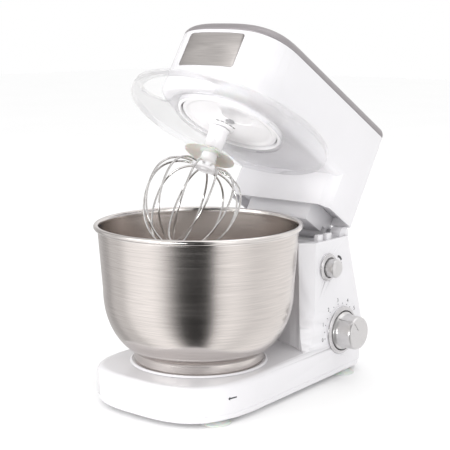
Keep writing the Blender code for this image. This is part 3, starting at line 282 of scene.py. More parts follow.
def brushed(name, colour, roughness, stretch, turned=False, anisotropic=0.6, depth=0.25, low=0.8, high=1.15):
    """Brushed metal: fine scratches along one direction, or around the piece's axis."""
    material, shader = new_shader(name, colour, roughness, 1.0, Anisotropic=anisotropic)
    tree = material.node_tree
    vector = around_axis(tree) if turned else None
    fine = grain(tree, 1.0, stretch, 4.0, vector=vector)
    coarse = grain(tree, 1.0, tuple(part * 0.23 for part in stretch), 2.0, vector=vector)
    tree.links.new(tint(tree, fine, scaled(colour, 0.86), scaled(colour, 1.1)), shader.inputs["Base Color"])
    tree.links.new(spread(tree, coarse, roughness * low, roughness * high), shader.inputs["Roughness"])
    bump(tree, shader, fine, depth, 0.00012)
    return material


def satin(name, colour, roughness, stretch=(1, 1, 1), metallic=0.85):
    """Plated or metallic-painted plastic with a fine sparkle."""
    material, shader = new_shader(name, colour, roughness, metallic)
    tree = material.node_tree
    flake = grain(tree, 2600.0, stretch, 1.0)
    tree.links.new(tint(tree, flake, scaled(colour, 0.9), scaled(colour, 1.1)), shader.inputs["Base Color"])
    tree.links.new(spread(tree, grain(tree, 90.0), roughness * 0.85, roughness * 1.2),
                   shader.inputs["Roughness"])
    bump(tree, shader, flake, 0.05, 0.0001)
    return material


def clear_plastic():
    material, shader = new_shader("clear_polycarbonate", (0.955, 0.955, 0.985), 0.03, IOR=1.45,
                                  Transmission_Weight=1.0, Alpha=0.3)
    tree = material.node_tree
    tree.links.new(spread(tree, grain(tree, 45.0), 0.015, 0.06), shader.inputs["Roughness"])
    bump(tree, shader, grain(tree, 25.0, detail=1.0), 0.05, 0.0004)
    return material


def silicone():
    colour = (0.85, 0.83, 0.78)
    material, shader = new_shader("translucent_silicone", colour, 0.38, Subsurface_Weight=0.35,
                                  Subsurface_Scale=0.01, Transmission_Weight=0.18)
    tree = material.node_tree
    tree.links.new(tint(tree, grain(tree, 60.0), scaled(colour, 0.96), scaled(colour, 1.02)),
                   shader.inputs["Base Color"])
    tree.links.new(spread(tree, grain(tree, 150.0), 0.3, 0.5), shader.inputs["Roughness"])
    bump(tree, shader, grain(tree, 1200.0), 0.06, 0.0002)
    return material


# The body's white and a brighter copy of the same plastic for the drum, disc, socket and hub under the head:
# the brighter copy is painted light that lifts their shade.
WHITE = moulded("gloss_white_plastic", (0.78, 0.77, 0.79), 0.2, 0.03)
PAINTED_LIGHT_WHITE = moulded("white_plastic_painted_light", (0.94, 0.93, 0.945), 0.22, 0.03)
WHITE_SATIN = moulded("satin_white_plastic", (0.82, 0.81, 0.83), 0.36, 0.08, 1400.0)
COVER = satin("silver_metallic_plastic", (0.30, 0.28, 0.29), 0.38, metallic=0.35)
SATIN = satin("satin_plated_plastic", (0.60, 0.59, 0.60), 0.24, metallic=0.85)
SILVER_FACE = satin("satin_knob_face", (0.64, 0.63, 0.63), 0.32, metallic=0.72)
BOWL_STEEL = brushed("brushed_bowl_steel", (0.69, 0.65, 0.625), 0.2, (2.5, 3000.0, 3000.0), True)
RIM_STEEL = brushed("polished_rim_steel", (0.74, 0.71, 0.69), 0.16, (3.0, 900.0, 900.0), True, 0.2, 0.05)
PLATE_STEEL = brushed("brushed_plate_steel", (0.54, 0.515, 0.50), 0.34, (40.0, 40.0, 2600.0))
WIRE = brushed("bright_wire_steel", (0.66, 0.65, 0.64), 0.14, (500.0, 500.0, 60.0), False, 0.0, 0.05)
MACHINED = brushed("machined_steel", (0.52, 0.52, 0.53), 0.32, (3.0, 1800.0, 1800.0), True, 0.3)
CLEAR_GUARD = clear_plastic()
SILICONE = silicone()
BLACK = moulded("black_moulded_plastic", (0.022, 0.022, 0.024), 0.45, 0.15, 1500.0)
INK = moulded("printed_grey_ink", (0.035, 0.035, 0.04), 0.5, 0.05)
# Near-black sheet for the gaps round the knob and button: painted shade.
GAP_SHADE = moulded("dark_gasket", (0.035, 0.033, 0.035), 0.6, 0.1)
COPPER = brushed("enamelled_copper_wire", (0.55, 0.22, 0.08), 0.3, (4.0, 2400.0, 2400.0), True, 0.2, 0.5)
BRONZE = brushed("sintered_bronze", (0.58, 0.40, 0.18), 0.4, (900.0, 900.0, 900.0), False, 0.0, 0.3)
BOARD = moulded("green_circuit_board", (0.02, 0.16, 0.06), 0.4, 0.1, 700.0)


# ---------------------------------------------------------------- mesh helpers

def mesh_from(bm, name):
    bmesh.ops.recalc_face_normals(bm, faces=bm.faces)
    mesh = bpy.data.meshes.new(name)
    bm.to_mesh(mesh)
    bm.free()
    return mesh


def box_mesh(name, low, high):
    bm = bmesh.new()
    bmesh.ops.create_cube(bm, size=1.0)
    for vert in bm.verts:
        for axis in range(3):
            vert.co[axis] = low[axis] if vert.co[axis] < 0 else high[axis]
    return mesh_from(bm, name)


def rod_mesh(name, radius, low, high, steps=64, axis="Z"):
    bm = bmesh.new()
    bmesh.ops.create_cone(bm, cap_ends=True, segments=steps, radius1=radius, radius2=radius, depth=high - low)
    bmesh.ops.translate(bm, verts=bm.verts, vec=(0, 0, (low + high) / 2))
    if axis == "X":
        bmesh.ops.rotate(bm, verts=bm.verts, matrix=Matrix.Rotation(pi / 2, 3, "Y"))
    if axis == "Y":
        bmesh.ops.rotate(bm, verts=bm.verts, matrix=Matrix.Rotation(-pi / 2, 3, "X"))
    return mesh_from(bm, name)


def loft_mesh(name, sections):
    """A closed solid through outlines with the same number of points."""
    bm = bmesh.new()
    rings = [[bm.verts.new(point) for point in section] for section in sections]
    count = len(rings[0])
    for lower, upper in zip(rings, rings[1:]):
        for i in range(count):
            j = (i + 1) % count
            bm.faces.new((lower[i], lower[j], upper[j], upper[i]))
    bm.faces.new(rings[0])
    bm.faces.new(rings[-1])
    return mesh_from(bm, name)


def eased(points, closed=True, steps=4):
    """A profile whose points with a third value have their corner rounded by that much."""
    out = []
    count = len(points)
    for i, point in enumerate(points):
        here = Vector(point[:2])
        ends = not closed and i in (0, count - 1)
        if len(point) < 3 or ends:
            out.append(tuple(here))
            continue
        before = Vector(points[i - 1][:2]) - here
        after = Vector(points[(i + 1) % count][:2]) - here
        start = here + before.normalized() * min(point[2], before.length * 0.48)
        end = here + after.normalized() * min(point[2], after.length * 0.48)
        for step in range(steps + 1):
            t = step / steps
            out.append(tuple(start * (1 - t) ** 2 + here * 2 * t * (1 - t) + end * t ** 2))
    return out


def turned_mesh(name, profile, steps=128, closed=True, axis="Z"):
    """A profile of (radius, height) points turned about its axis."""
    bm = bmesh.new()
    verts = [bm.verts.new((radius, 0, height)) for radius, height in profile]
    ends = verts[1:] + verts[:1] if closed else verts[1:]
    edges = [bm.edges.new((a, b)) for a, b in zip(verts, ends) if a.co.x > 0 or b.co.x > 0]
    bmesh.ops.spin(bm, geom=verts + edges, axis=(0, 0, 1), cent=(0, 0, 0), steps=steps, angle=2 * pi)
    bmesh.ops.remove_doubles(bm, verts=bm.verts, dist=2e-6)
    if axis == "X":
        bmesh.ops.rotate(bm, verts=bm.verts, matrix=Matrix.Rotation(pi / 2, 3, "Y"))
    if axis == "-Y":
        bmesh.ops.rotate(bm, verts=bm.verts, matrix=Matrix.Rotation(-pi / 2, 3, "X"))
    return mesh_from(bm, name)


def tube_mesh(name, lines, radius, sides=10):
    """Round tubes along lists of points, joined in one mesh."""
    curve = bpy.data.curves.new(name, "CURVE")
    curve.dimensions = "3D"
    curve.bevel_depth = radius
    curve.bevel_resolution = sides // 2 - 1
    curve.use_fill_caps = True
    for points in lines:
        spline = curve.splines.new("POLY")
        spline.points.add(len(points) - 1)
        for point, co in zip(spline.points, points):
            point.co = (*co, 1)
    carrier = bpy.data.objects.new(name, curve)
    bpy.context.scene.collection.objects.link(carrier)
    bpy.context.view_layer.update()
    mesh = bpy.data.meshes.new_from_object(carrier.evaluated_get(bpy.context.evaluated_depsgraph_get()))
    bpy.data.objects.remove(carrier)
    bpy.data.curves.remove(curve)
    return mesh


def joined(name, meshes):
    bm = bmesh.new()
    for mesh in meshes:
        bm.from_mesh(mesh)
    return mesh_from(bm, name)


def placed(mesh, x=0.0, y=0.0, z=0.0):
    mesh.transform(Matrix.Translation((x, y, z)))
    return mesh


def made(mesh, matrix, tools=(), bevel=0.0, angle=32.0, segments=3):
    """An object from a mesh, cut or joined by the tools, with eased edges."""
    item = bpy.data.objects.new(mesh.name, mesh)
    bpy.context.scene.collection.objects.link(item)
    item.matrix_world = matrix
    helpers = []
    for operation, tool in tools:
        helper = bpy.data.objects.new("tool", tool)
        bpy.context.scene.collection.objects.link(helper)
        helper.matrix_world = matrix
        helpers.append(helper)
        step = item.modifiers.new("shape", "BOOLEAN")
        step.operation = operation
        step.solver = "EXACT"
        step.object = helper
    if bevel:
        step = item.modifiers.new("edges", "BEVEL")
        step.width = bevel
        step.segments = segments
        step.limit_method = "ANGLE"
        step.angle_limit = radians(angle)
        step.harden_normals = True
    bpy.context.view_layer.update()
    if item.modifiers:
        item.data = bpy.data.meshes.new_from_object(item.evaluated_get(bpy.context.evaluated_depsgraph_get()))
        item.modifiers.clear()
    for helper in helpers:
        bpy.data.objects.remove(helper)
    if abs(matrix[1][2]) > 0.01:
        item.data.transform(matrix)
        item.matrix_world = Matrix.Identity(4)
    item.data.shade_smooth()
    item.data.set_sharp_from_angle(angle=radians(angle))
    return item


def cut(mesh):
    return "DIFFERENCE", mesh


def add(mesh):
    return "UNION", mesh


def piece(name, item, body, material, nodes=()):
    """Names a piece, gives it its material and hangs it on its body."""
    item.name = name
    item.data.name = name
    item.data.materials.clear()
    item.data.materials.append(material)
    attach(item, body)
    if nodes:
        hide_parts(*nodes)
    return item


def signed_power(value, power):
    return abs(value) ** power * (1 if value >= 0 else -1)


def d_outline(half_w, front, nose_len, rear, rear_half_w, corner, square=3.0, steps=72):
    """A plan with a rounded, squarish front and a straight rear with rounded corners."""
    points = []
    for i in range(steps + 1):
        angle = pi + pi * i / steps
        x = half_w * signed_power(cos(angle), 2 / square)
        y = -front + nose_len + nose_len * signed_power(sin(angle), 2 / square)
        points.append((x, y))
    for side, start in ((1, 0.0), (-1, pi / 2)):
        for i in range(9):
            angle = start + pi / 2 * i / 8
            x = side * (rear_half_w - corner) + corner * cos(angle)
            points.append((x, rear - corner + corner * sin(angle)))
    return points


# ---------------------------------------------------------------- stand

def base_plan(inset):
    return d_outline(BASE_HALF_W - inset, BASE_FRONT - inset, BASE_NOSE - inset, BASE_REAR - inset,
                     BASE_REAR_HALF_W - inset, 22 * MM - inset)


def base_sections(inset, low, top, edge, steps=9):
    sections = [[(x, y, low) for x, y in base_plan(inset)]]
    for i in range(steps + 1):
        angle = pi / 2 * i / steps
        z = top - edge + edge * sin(angle)
        sections.append([(x, y, z) for x, y in base_plan(inset + edge * (1 - cos(angle)))])
    return sections


def column_plan(z, inset):
    """Outline of the column at a height: chamfered front corners, rounded rear ones."""
    depth = COLUMN_TOP - z
    flare = COLUMN_FLARE * exp(-max(z - BASE_TOP, 0) / FLARE_FADE)
    half = COLUMN_HALF_W + COLUMN_DRAFT * depth - inset
    front = COLUMN_FRONT - COLUMN_FRONT_SLOPE * depth - flare + inset
    rear = COLUMN_REAR + COLUMN_REAR_SLOPE * depth - inset
    cut = COLUMN_CHAMFER - inset * 0.4
    round_r = 8 * MM - inset
    points = [(-half, front + cut), (-half + cut, front), (half - cut, front), (half, front + cut)]
    for side, start in ((1, 0.0), (-1, pi / 2)):
        for i in range(7):
            angle = start + pi / 2 * i / 6
            x = side * (half - round_r) + round_r * cos(angle)
            points.append((x, rear - round_r + round_r * sin(angle)))
    return points


def column_sections(inset, low, high):
    rises = (0.5, 1.5, 3, 5, 7.5, 10.5, 14, 18, 23, 30, 40)
    levels = [low] + [BASE_TOP + rise * MM for rise in rises] + [high]
    return [[(x, y, z) for x, y in column_plan(z, inset)] for z in levels]


def wall_x(z):
    return COLUMN_HALF_W + COLUMN_DRAFT * (COLUMN_TOP - z)


def control_spots():
    """(name, bezel radius, hole radius, centre) of the dial and the button, from the frame's bezels."""
    spots = []
    for node, radius, hole in (("dial_ring", DIAL_RING_R, 6 * MM),
                               ("release_ring", BUTTON_RING_R, BUTTON_R + CLEAR)):
        low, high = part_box(node)
        centre = (low + high) / 2
        spots.append((node, radius, hole, Vector((low.x, centre.y - BOWL_SPOT.y, centre.z))))
    return spots


def build_housing():
    tools = []
    column = made(loft_mesh("column", column_sections(0, BASE_TOP - 9 * MM, COLUMN_TOP)),
                  Matrix.Identity(4),
                  [cut(rod_mesh("scoop", SCOOP_R, BASE_TOP, COLUMN_TOP + 30 * MM, 160))])
    tools.append(add(column.data))
    wall = STAND_WALL
    tools.append(cut(loft_mesh("inner",
                               base_sections(wall, BASE_SEAM - 1 * MM, BASE_TOP - wall, BASE_EDGE - wall,
                                             3))))
    well = made(loft_mesh("well", column_sections(wall, BASE_TOP - 9.5 * MM, COLUMN_TOP + 1 * MM)),
                Matrix.Identity(4),
                [cut(rod_mesh("scoop", SCOOP_R + wall, BASE_TOP - wall, COLUMN_TOP + 30 * MM, 160))])
    tools.append(cut(well.data))
    for _, radius, hole, centre in control_spots():
        boss = rod_mesh("boss", radius + 0.6 * MM, centre.x - 8 * MM, centre.x - CLEAR, 96, "X")
        seat = rod_mesh("seat", radius + CLEAR, centre.x - CLEAR, centre.x + 20 * MM, 96, "X")
        bore = rod_mesh("bore", hole, 50 * MM, 90 * MM, 64, "X")
        for operation, mesh in ((add, boss), (cut, seat), (cut, bore)):
            tools.append(operation(placed(mesh, 0, centre.y, centre.z)))
    reach = EAR[1] + CLEAR
    notch = box_mesh("notch", (-reach, HINGE_Y - KNUCKLE_R, HINGE_Z - KNUCKLE_R - CLEAR),
                     (reach, COLUMN_REAR + 20 * MM, COLUMN_TOP + 5 * MM))
    tools.append(cut(notch))
    low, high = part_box("cord_gland")
    gland = rod_mesh("gland_hole", (high.x - low.x) / 2 - 2 * MM + CLEAR, -30 * MM, 30 * MM, 48, "Y")
    tools.append(cut(placed(gland, (low.x + high.x) / 2, BASE_REAR, (low.z + high.z) / 2)))
    housing = made(loft_mesh("housing", base_sections(0, BASE_SEAM, BASE_TOP, BASE_EDGE)), STAND, tools,
                   0.7 * MM)
    bpy.data.objects.remove(column)
    bpy.data.objects.remove(well)
    piece("stand_shell", housing, "stand", WHITE, ["stand_housing"])


def build_bottom():
    plan = [[(x, y, z) for x, y in base_plan(inset)] for z, inset in
            ((BASE_BOTTOM, 4 * MM), (BASE_BOTTOM + 1.2 * MM, 2.4 * MM), (BASE_BOTTOM + 3 * MM, 1.5 * MM),
             (BASE_SEAM - CLEAR, 1.2 * MM))]
    wells = []
    for side in (1, -1):
        for low, high in (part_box("foot_front_right"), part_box("foot_rear_right")):
            middle = (low + high) / 2
            ring = turned_mesh("recess", [(FOOT_R + 1 * MM, BASE_BOTTOM + 0.8 * MM), (FOOT_R + 1 * MM, 0),
                                          (FOOT_R * 0.56, 0), (FOOT_R * 0.56, BASE_BOTTOM + 0.8 * MM)], 64)
            wells.append(cut(placed(ring, side * middle.x, middle.y - BOWL_SPOT.y)))
    for i in range(7):
        slot = box_mesh("vent", (-14 * MM, -1.1 * MM, 0), (14 * MM, 1.1 * MM, BASE_BOTTOM + 1.5 * MM))
        wells.append(cut(placed(slot, 0, 96 * MM + 6 * MM * i)))
    cover = made(loft_mesh("bottom", plan), STAND, wells, 0.5 * MM)
    piece("underside_cover", cover, "stand", WHITE_SATIN, ["bottom_cover"])


def build_feet():
    """Suction cups with a thin lip and a stem."""
    profile = eased([(0, BASE_BOTTOM - CLEAR), (FOOT_R * 0.5, BASE_BOTTOM - CLEAR),
                     (FOOT_R * 0.56, 3.4 * MM, 1 * MM), (FOOT_R * 0.85, 2.2 * MM, 3 * MM),
                     (FOOT_R, 1.0 * MM, 0.6 * MM), (FOOT_R, 0, 0.5 * MM), (FOOT_R - 1.6 * MM, 0, 0.5 * MM),
                     (FOOT_R * 0.6, 1.5 * MM, 4 * MM), (0, 2.2 * MM)], False)
    for name in ("foot_front_left", "foot_front_right", "foot_rear_left", "foot_rear_right"):
        low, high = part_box(name)
        spot = Matrix.Translation(((low.x + high.x) / 2, (low.y + high.y) / 2, 0))
        piece(name.replace("foot", "suction_cup"), made(turned_mesh(name, profile, 72, False), spot),
              "stand", SILICONE, [name])


def build_seat():
    low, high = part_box("bowl_seat")
    top = high.z
    outer = (high.x - low.x) / 2
    floor = BOWL_SPOT.z - CLEAR
    profile = eased([(0, floor), (BOWL_FOOT_R + 1.2 * MM, floor), (BOWL_FOOT_R + 1.8 * MM, top, 0.4 * MM),
                     (outer - 1.5 * MM, top, 0.8 * MM), (outer, low.z, 0.3 * MM), (0, low.z)], False)
    seat = made(turned_mesh("seat", profile, 160, False), STAND)
    piece("bowl_locking_seat", seat, "stand", WHITE, ["bowl_seat"])


def build_cap():
    """Tray on the column: guide for the head's block, lugs, hinge ears and the latch's slot."""
    inset = STAND_WALL + CLEAR
    low = COLUMN_TOP - CAP_DEPTH
    tools = [cut(rod_mesh("scoop", SCOOP_R + inset, BASE_TOP, COLUMN_TOP + 30 * MM, 160))]
    for side in (1, -1):
        low_x, high_x = sorted((side * EAR[0], side * EAR[1]))
        ear = rod_mesh("ear", KNUCKLE_R, low_x, high_x, 64, "X")
        tools.append(add(placed(ear, 0, HINGE_Y, HINGE_Z)))
        for y in LUG_SPOTS:
            lug = box_mesh("lug", (-LUG.x / 2, -LUG.y / 2, -3 * MM), (LUG.x / 2, LUG.y / 2, LUG.z))
            tools.append(add(placed(lug, side * LUG_X, y, COLUMN_TOP - 0.5 * MM)))
    tools.append(cut(box_mesh("pocket", (-POCKET_HALF_W, POCKET_FRONT, low + 3 * MM),
                              (POCKET_HALF_W, COLUMN_REAR + 30 * MM, COLUMN_TOP + 20 * MM))))
    bore = rod_mesh("bore", PIN_R + CLEAR, -EAR[1] + 2 * MM, EAR[1] - 2 * MM, 48, "X")
    tools.append(cut(placed(bore, 0, HINGE_Y, HINGE_Z)))
    latch = Vector(JOINTS["latch_rock"]["pos_m"]) - Vector((0, BOWL_SPOT.y, 0))
    slot = box_mesh("slot", (POCKET_HALF_W - 4.5 * MM - latch.x, -1.6 * MM, 1.5 * MM),
                    (7 * MM, 1.6 * MM, 16 * MM))
    tools.append(cut(placed(slot, *latch)))
    plan = [[(x, y, z) for x, y in column_plan(z, inset)] for z in (low, COLUMN_TOP - 0.5 * MM)]
    cap = made(loft_mesh("cap", plan), STAND, tools, 0.6 * MM)
    piece("column_tray", cap, "stand", WHITE, ["column_cap"])


def build_bezels():
    """Bevelled silver bezels, bright on the slope, with painted shade in the gap round the knob."""
    for node, radius, hole, centre in control_spots():
        big = node == "dial_ring"
        inner = KNOB_SKIRT_R + 1.2 * MM if big else BUTTON_R + 1.2 * MM
        floor = 1.0 * MM if big else 0.8 * MM
        bore = 7 * MM if big else BUTTON_R + CLEAR
        profile = eased([(inner, RING_PROUD, 0.5 * MM), (radius - 2.6 * MM, RING_PROUD - 0.2 * MM, 0.8 * MM),
                         (radius, 0.9 * MM, 0.6 * MM), (radius, 0), (bore, 0), (bore, floor), (inner, floor)])
        spot = Matrix.Translation((centre.x, centre.y + BOWL_SPOT.y,
                                   centre.z)) @ Matrix.Rotation(pi / 2, 4, "Y")
        ring = made(turned_mesh(node, profile, 128), spot)
        piece(node.replace("ring", "bezel"), ring, "stand", SATIN, [node])
        # A thin near-black sheet on the bezel's floor: painted shade in the gap round the knob.
        well = turned_mesh("well",
                           [(inner - 0.1 * MM, floor + 0.1 * MM), (inner - 0.1 * MM, floor + 0.02 * MM),
                            (bore + 0.3 * MM, floor + 0.02 * MM), (bore + 0.3 * MM, floor + 0.1 * MM)], 96)
        piece(node.replace("ring", "gasket"), made(well, spot), "stand", GAP_SHADE)


def build_knob():
    """Speed knob: crowned face, waisted skirt and a pointer groove over the edge."""
    face = 1.4 * MM
    profile = eased([(0, KNOB_REACH), (KNOB_R - 1.6 * MM, KNOB_REACH - 0.4 * MM, 1.6 * MM),
                     (KNOB_R, KNOB_REACH - 2.6 * MM, 1.4 * MM), (KNOB_R + 0.8 * MM, face + 5 * MM, 2 * MM),
                     (KNOB_SKIRT_R, face + 2 * MM, 0.8 * MM), (KNOB_SKIRT_R, face, 0.4 * MM),
                     (3.3 * MM, face), (3.3 * MM, KNOB_REACH - 6 * MM), (0, KNOB_REACH - 6 * MM)], False, 6)
    groove = box_mesh("groove", (face + 3 * MM, -0.55 * MM, KNOB_R - 0.2 * MM),
                      (KNOB_REACH + 1 * MM, 0.55 * MM, KNOB_R + 4 * MM))
    line = box_mesh("line", (KNOB_REACH - 1.1 * MM, -0.55 * MM, KNOB_R * 0.28),
                    (KNOB_REACH + 1 * MM, 0.55 * MM, KNOB_R + 4 * MM))
    lean = Matrix.Rotation(radians(POINTER_DEG), 4, "X")
    tools = []
    for mesh in (groove, line):
        mesh.transform(lean)
        tools.append(cut(mesh))
    knob = made(turned_mesh("knob", profile, 160, False, "X"), DIAL, tools, 0.12 * MM, 40, 2)
    piece("speed_dial_knob", knob, "dial", SILVER_FACE, ["speed_knob"])


def build_button():
    low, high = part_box("release_button")
    spot = Matrix.Translation((high.x - BUTTON_REACH, (low.y + high.y) / 2, (low.z + high.z) / 2))
    profile = eased([(0, BUTTON_REACH), (BUTTON_R * 0.55, BUTTON_REACH, 0.8 * MM),
                     (BUTTON_R * 0.72, BUTTON_REACH - 0.9 * MM, 0.8 * MM),
                     (BUTTON_R * 0.98, BUTTON_REACH - 2.6 * MM, 2 * MM),
                     (BUTTON_R, BUTTON_REACH - 5 * MM, 1 * MM), (BUTTON_R, -BUTTON_BACK),
                     (0, -BUTTON_BACK)], False, 6)
    button = made(turned_mesh("button", profile, 128, False, "X"), spot)
    piece("head_release_button", button, "button", SILVER_FACE, ["release_button"])


def on_wall(u, v, centre, lift=0.12 * MM):
    """A point on the column's right side, u to the rear and v up from a centre (y, z)."""
    z = centre[1] + v
    return (wall_x(z) + lift, centre[0] + u, z)


def flat_shape(outline, centre, thickness=0.16 * MM):
    """A thin printed shape on the column's right side, from (u, v) points."""
    lower = [on_wall(u, v, centre, -thickness / 2) for u, v in outline]
    upper = [on_wall(u, v, centre, thickness / 2) for u, v in outline]
    return loft_mesh("print", [lower, upper])


def digit_mesh(text, size, u, v, centre):
    font = bpy.data.curves.new("digit", "FONT")
    font.body = text
    font.size = size
    font.align_x = "CENTER"
    font.align_y = "CENTER"
    font.extrude = 0.08 * MM
    font.resolution_u = 4
    carrier = bpy.data.objects.new("digit", font)
    bpy.context.scene.collection.objects.link(carrier)
    bpy.context.view_layer.update()
    mesh = bpy.data.meshes.new_from_object(carrier.evaluated_get(bpy.context.evaluated_depsgraph_get()))
    bpy.data.objects.remove(carrier)
    for vert in mesh.vertices:
        side, up, lift = vert.co
        vert.co = on_wall(u + side, v + up, centre, lift)
    return mesh


def stroke(points, width):
    """Outline of a line of the given width through (u, v) points."""
    left, right = [], []
    for i, point in enumerate(points):
        here = Vector(point)
        ahead = Vector(points[min(i + 1, len(points) - 1)]) - Vector(points[max(i - 1, 0)])
        side = Vector((-ahead.y, ahead.x)).normalized() * width / 2
        left.append(tuple(here + side))
        right.append(tuple(here - side))
    return left + right[::-1]


def arc(radius, start_deg, end_deg, count, centre=(0, 0)):
    angles = [radians(start_deg + (end_deg - start_deg) * i / count) for i in range(count + 1)]
    return [(centre[0] + radius * cos(a), centre[1] + radius * sin(a)) for a in angles]


DIAL_MARKS = ((0, 99), (1, 70), (2, 39), (3, 6), (4, -27), (5, -55), (6, -88))
DOT_R = 0.62 * MM


def build_dial_print():
    """Numbers 0 to 6 with a dot at each and between them, round the speed knob."""
    centre = (DIAL.translation.y - BOWL_SPOT.y, DIAL.translation.z)
    meshes = []
    dots = []
    for (number, angle), following in zip(DIAL_MARKS, DIAL_MARKS[1:] + (None,)):
        turn = radians(90 + angle)
        reach = DIAL_RING_R + 7.2 * MM
        meshes.append(digit_mesh(str(number), 6.0 * MM, reach * cos(turn), reach * sin(turn), centre))
        dots.append(turn)
        if following:
            dots.append(radians(90 + (angle + following[1]) / 2))
    for turn in dots:
        reach = DIAL_RING_R + 2.8 * MM
        spot = (reach * cos(turn), reach * sin(turn))
        meshes.append(flat_shape(arc(DOT_R, 0, 345, 15, spot), centre))
    marks = made(joined("marks", meshes), STAND)
    piece("dial_numbers", marks, "stand", INK)


def build_release_print():
    """Generic sign for raising the head: a bent bar over a block."""
    low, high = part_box("release_ring")
    centre = ((low.y + high.y) / 2 - BOWL_SPOT.y + 22 * MM, (low.z + high.z) / 2 + 1 * MM)
    bar = stroke(arc(7.5 * MM, 20, 88, 10, (-3 * MM, 0.5 * MM)), 2.6 * MM)
    block = [(-1 * MM, -5.5 * MM), (4.6 * MM, -5.5 * MM), (4.6 * MM, 1 * MM), (1.8 * MM, -1.2 * MM),
             (-1 * MM, -0.6 * MM)]
    sign = made(joined("sign", [flat_shape(bar, centre), flat_shape(block, centre)]), STAND)
    piece("release_sign", sign, "stand", INK)


def build_lock_print():
    """Arrow on the base's front edge that shows which way the bowl locks."""
    outline = [(-6, 0), (-3.2, 1.9), (-3.2, 0.7), (6, 0.7), (6, -0.7), (-3.2, -0.7), (-3.2, -1.9)]
    radius = BOWL_RIM_R - 8 * MM
    middle = radians(-15)
    half = Vector((BASE_HALF_W, BASE_NOSE))
    lower, upper = [], []
    for along, up in outline:
        angle = middle + along * MM / radius
        u = half.x * signed_power(cos(angle), 2 / 3.0)
        v = -BASE_FRONT + BASE_NOSE + half.y * signed_power(sin(angle), 2 / 3.0)
        for target, lift in ((lower, -0.05 * MM), (upper, 0.12 * MM)):
            outward = Vector((u, v + BASE_FRONT - BASE_NOSE)).normalized() * lift
            target.append((u + outward.x, v + outward.y, 27 * MM + up * MM))
    arrow = made(loft_mesh("arrow", [lower, upper]), STAND)
    piece("bowl_lock_arrow", arrow, "stand", INK)


def build_gland():
    low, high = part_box("cord_gland")
    radius = (high.x - low.x) / 2
    length = high.y - low.y
    front = 12 * MM
    bore = 3.6 * MM
    back = front - length
    points = [(bore, front), (radius - 3 * MM, front, 0.8 * MM)]
    for i in range(4):
        z = front - (2.0 + 1.8 * i) * MM
        r = radius - 2.6 * MM + 0.6 * MM * i
        points += [(r, z, 0.2 * MM), (r - 0.9 * MM, z - 0.5 * MM, 0.2 * MM),
                   (r - 0.7 * MM, z - 1.2 * MM, 0.2 * MM)]
    points += [(radius, 2.6 * MM, 0.6 * MM), (radius, 0), (radius - 2 * MM, 0), (radius - 2 * MM, back),
               (bore, back)]
    spot = Matrix.Translation(((low.x + high.x) / 2, high.y - front, (low.z + high.z) / 2))
    gland = made(turned_mesh("gland", eased(points), 72, True, "-Y"), spot)
    piece("cord_inlet", gland, "stand", BLACK, ["cord_gland"])


def build_screws():
    """Cross-recessed heads for the four base screws."""
    for number in range(1, 5):
        name = f"base_screw_{number}"
        low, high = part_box(name)
        middle = (low + high) / 2
        head_r = (high.x - low.x) / 2
        profile = eased([(0, high.z), (1.6 * MM, high.z - 1 * MM), (1.6 * MM, low.z + 2.0 * MM),
                         (head_r, low.z + 1.6 * MM, 0.2 * MM), (head_r * 0.92, low.z + 0.6 * MM, 0.8 * MM),
                         (0, low.z)], False)
        cross = [cut(box_mesh("slot", (-a * MM, -b * MM, low.z - 1 * MM),
                              (a * MM, b * MM, low.z + 1.2 * MM))) for a, b in ((1.9, 0.4), (0.4, 1.9))]
        screw = made(turned_mesh(name, profile, 48, False), Matrix.Translation((middle.x, middle.y, 0)),
                     cross)
        piece(name.replace("base_screw", "cross_screw"), screw, "stand", MACHINED, [name])


# ---------------------------------------------------------------- head

def seam_height(y):
    return SEAM_NOSE + SEAM_RISE * (y + HEAD_NOSE)


def head_plan(inset):
    corner = max(HEAD_CORNER - inset, 1 * MM)
    return d_outline(HEAD_HALF_W - inset, HEAD_NOSE - inset, HEAD_NOSE_LEN - inset, HEAD_REAR - inset,
                     HEAD_HALF_W - inset, corner)


def on_head(points, z):
    return [(x, y - HINGE_Y, z - HINGE_Z) for x, y in points]


def on_seam(points, lift):
    return [(x, y - HINGE_Y, seam_height(y) + lift - HINGE_Z) for x, y in points]


def neck_plan(inset):
    half = HEAD_HALF_W - inset
    front = NECK_FRONT + inset
    rear = HEAD_REAR - inset
    cut = NECK_CHAMFER - inset * 0.4
    corner = max(HEAD_CORNER - inset, 1 * MM)
    points = [(-half, front + cut), (-half + cut, front), (half - cut, front), (half, front + cut)]
    for side, start in ((1, 0.0), (-1, pi / 2)):
        for i in range(7):
            angle = start + pi / 2 * i / 6
            points.append((side * (half - corner) + corner * cos(angle), rear - corner + corner * sin(angle)))
    return points


def nose_y(x, inset):
    half, depth = HEAD_HALF_W - inset, HEAD_NOSE_LEN - inset
    return -HEAD_NOSE + HEAD_NOSE_LEN - depth * (1 - abs(x / half) ** 3.0) ** (1 / 3.0)


def nose_patch(name, outer, inner, half_w, low, high, corner):
    """A slab with rounded corners that follows the nose, between two insets."""
    outline = []
    for cx, cz, start in ((half_w - corner, high - corner, 0), (-half_w + corner, high - corner, 90),
                          (-half_w + corner, low + corner, 180), (half_w - corner, low + corner, 270)):
        outline += arc(corner, start, start + 90, 6, (cx, cz))
    columns = 40
    bm = bmesh.new()
    grids = []
    for inset in (outer, inner):
        grid = []
        for x, z in dense(outline, columns):
            y = nose_y(x, inset)
            grid.append(bm.verts.new((x, y - HINGE_Y, seam_height(y) + z - HINGE_Z)))
        grids.append(grid)
    count = len(grids[0])
    for i in range(count):
        j = (i + 1) % count
        bm.faces.new((grids[0][i], grids[0][j], grids[1][j], grids[1][i]))
    for grid in grids:
        strip_fill(bm, grid)
    return mesh_from(bm, name)


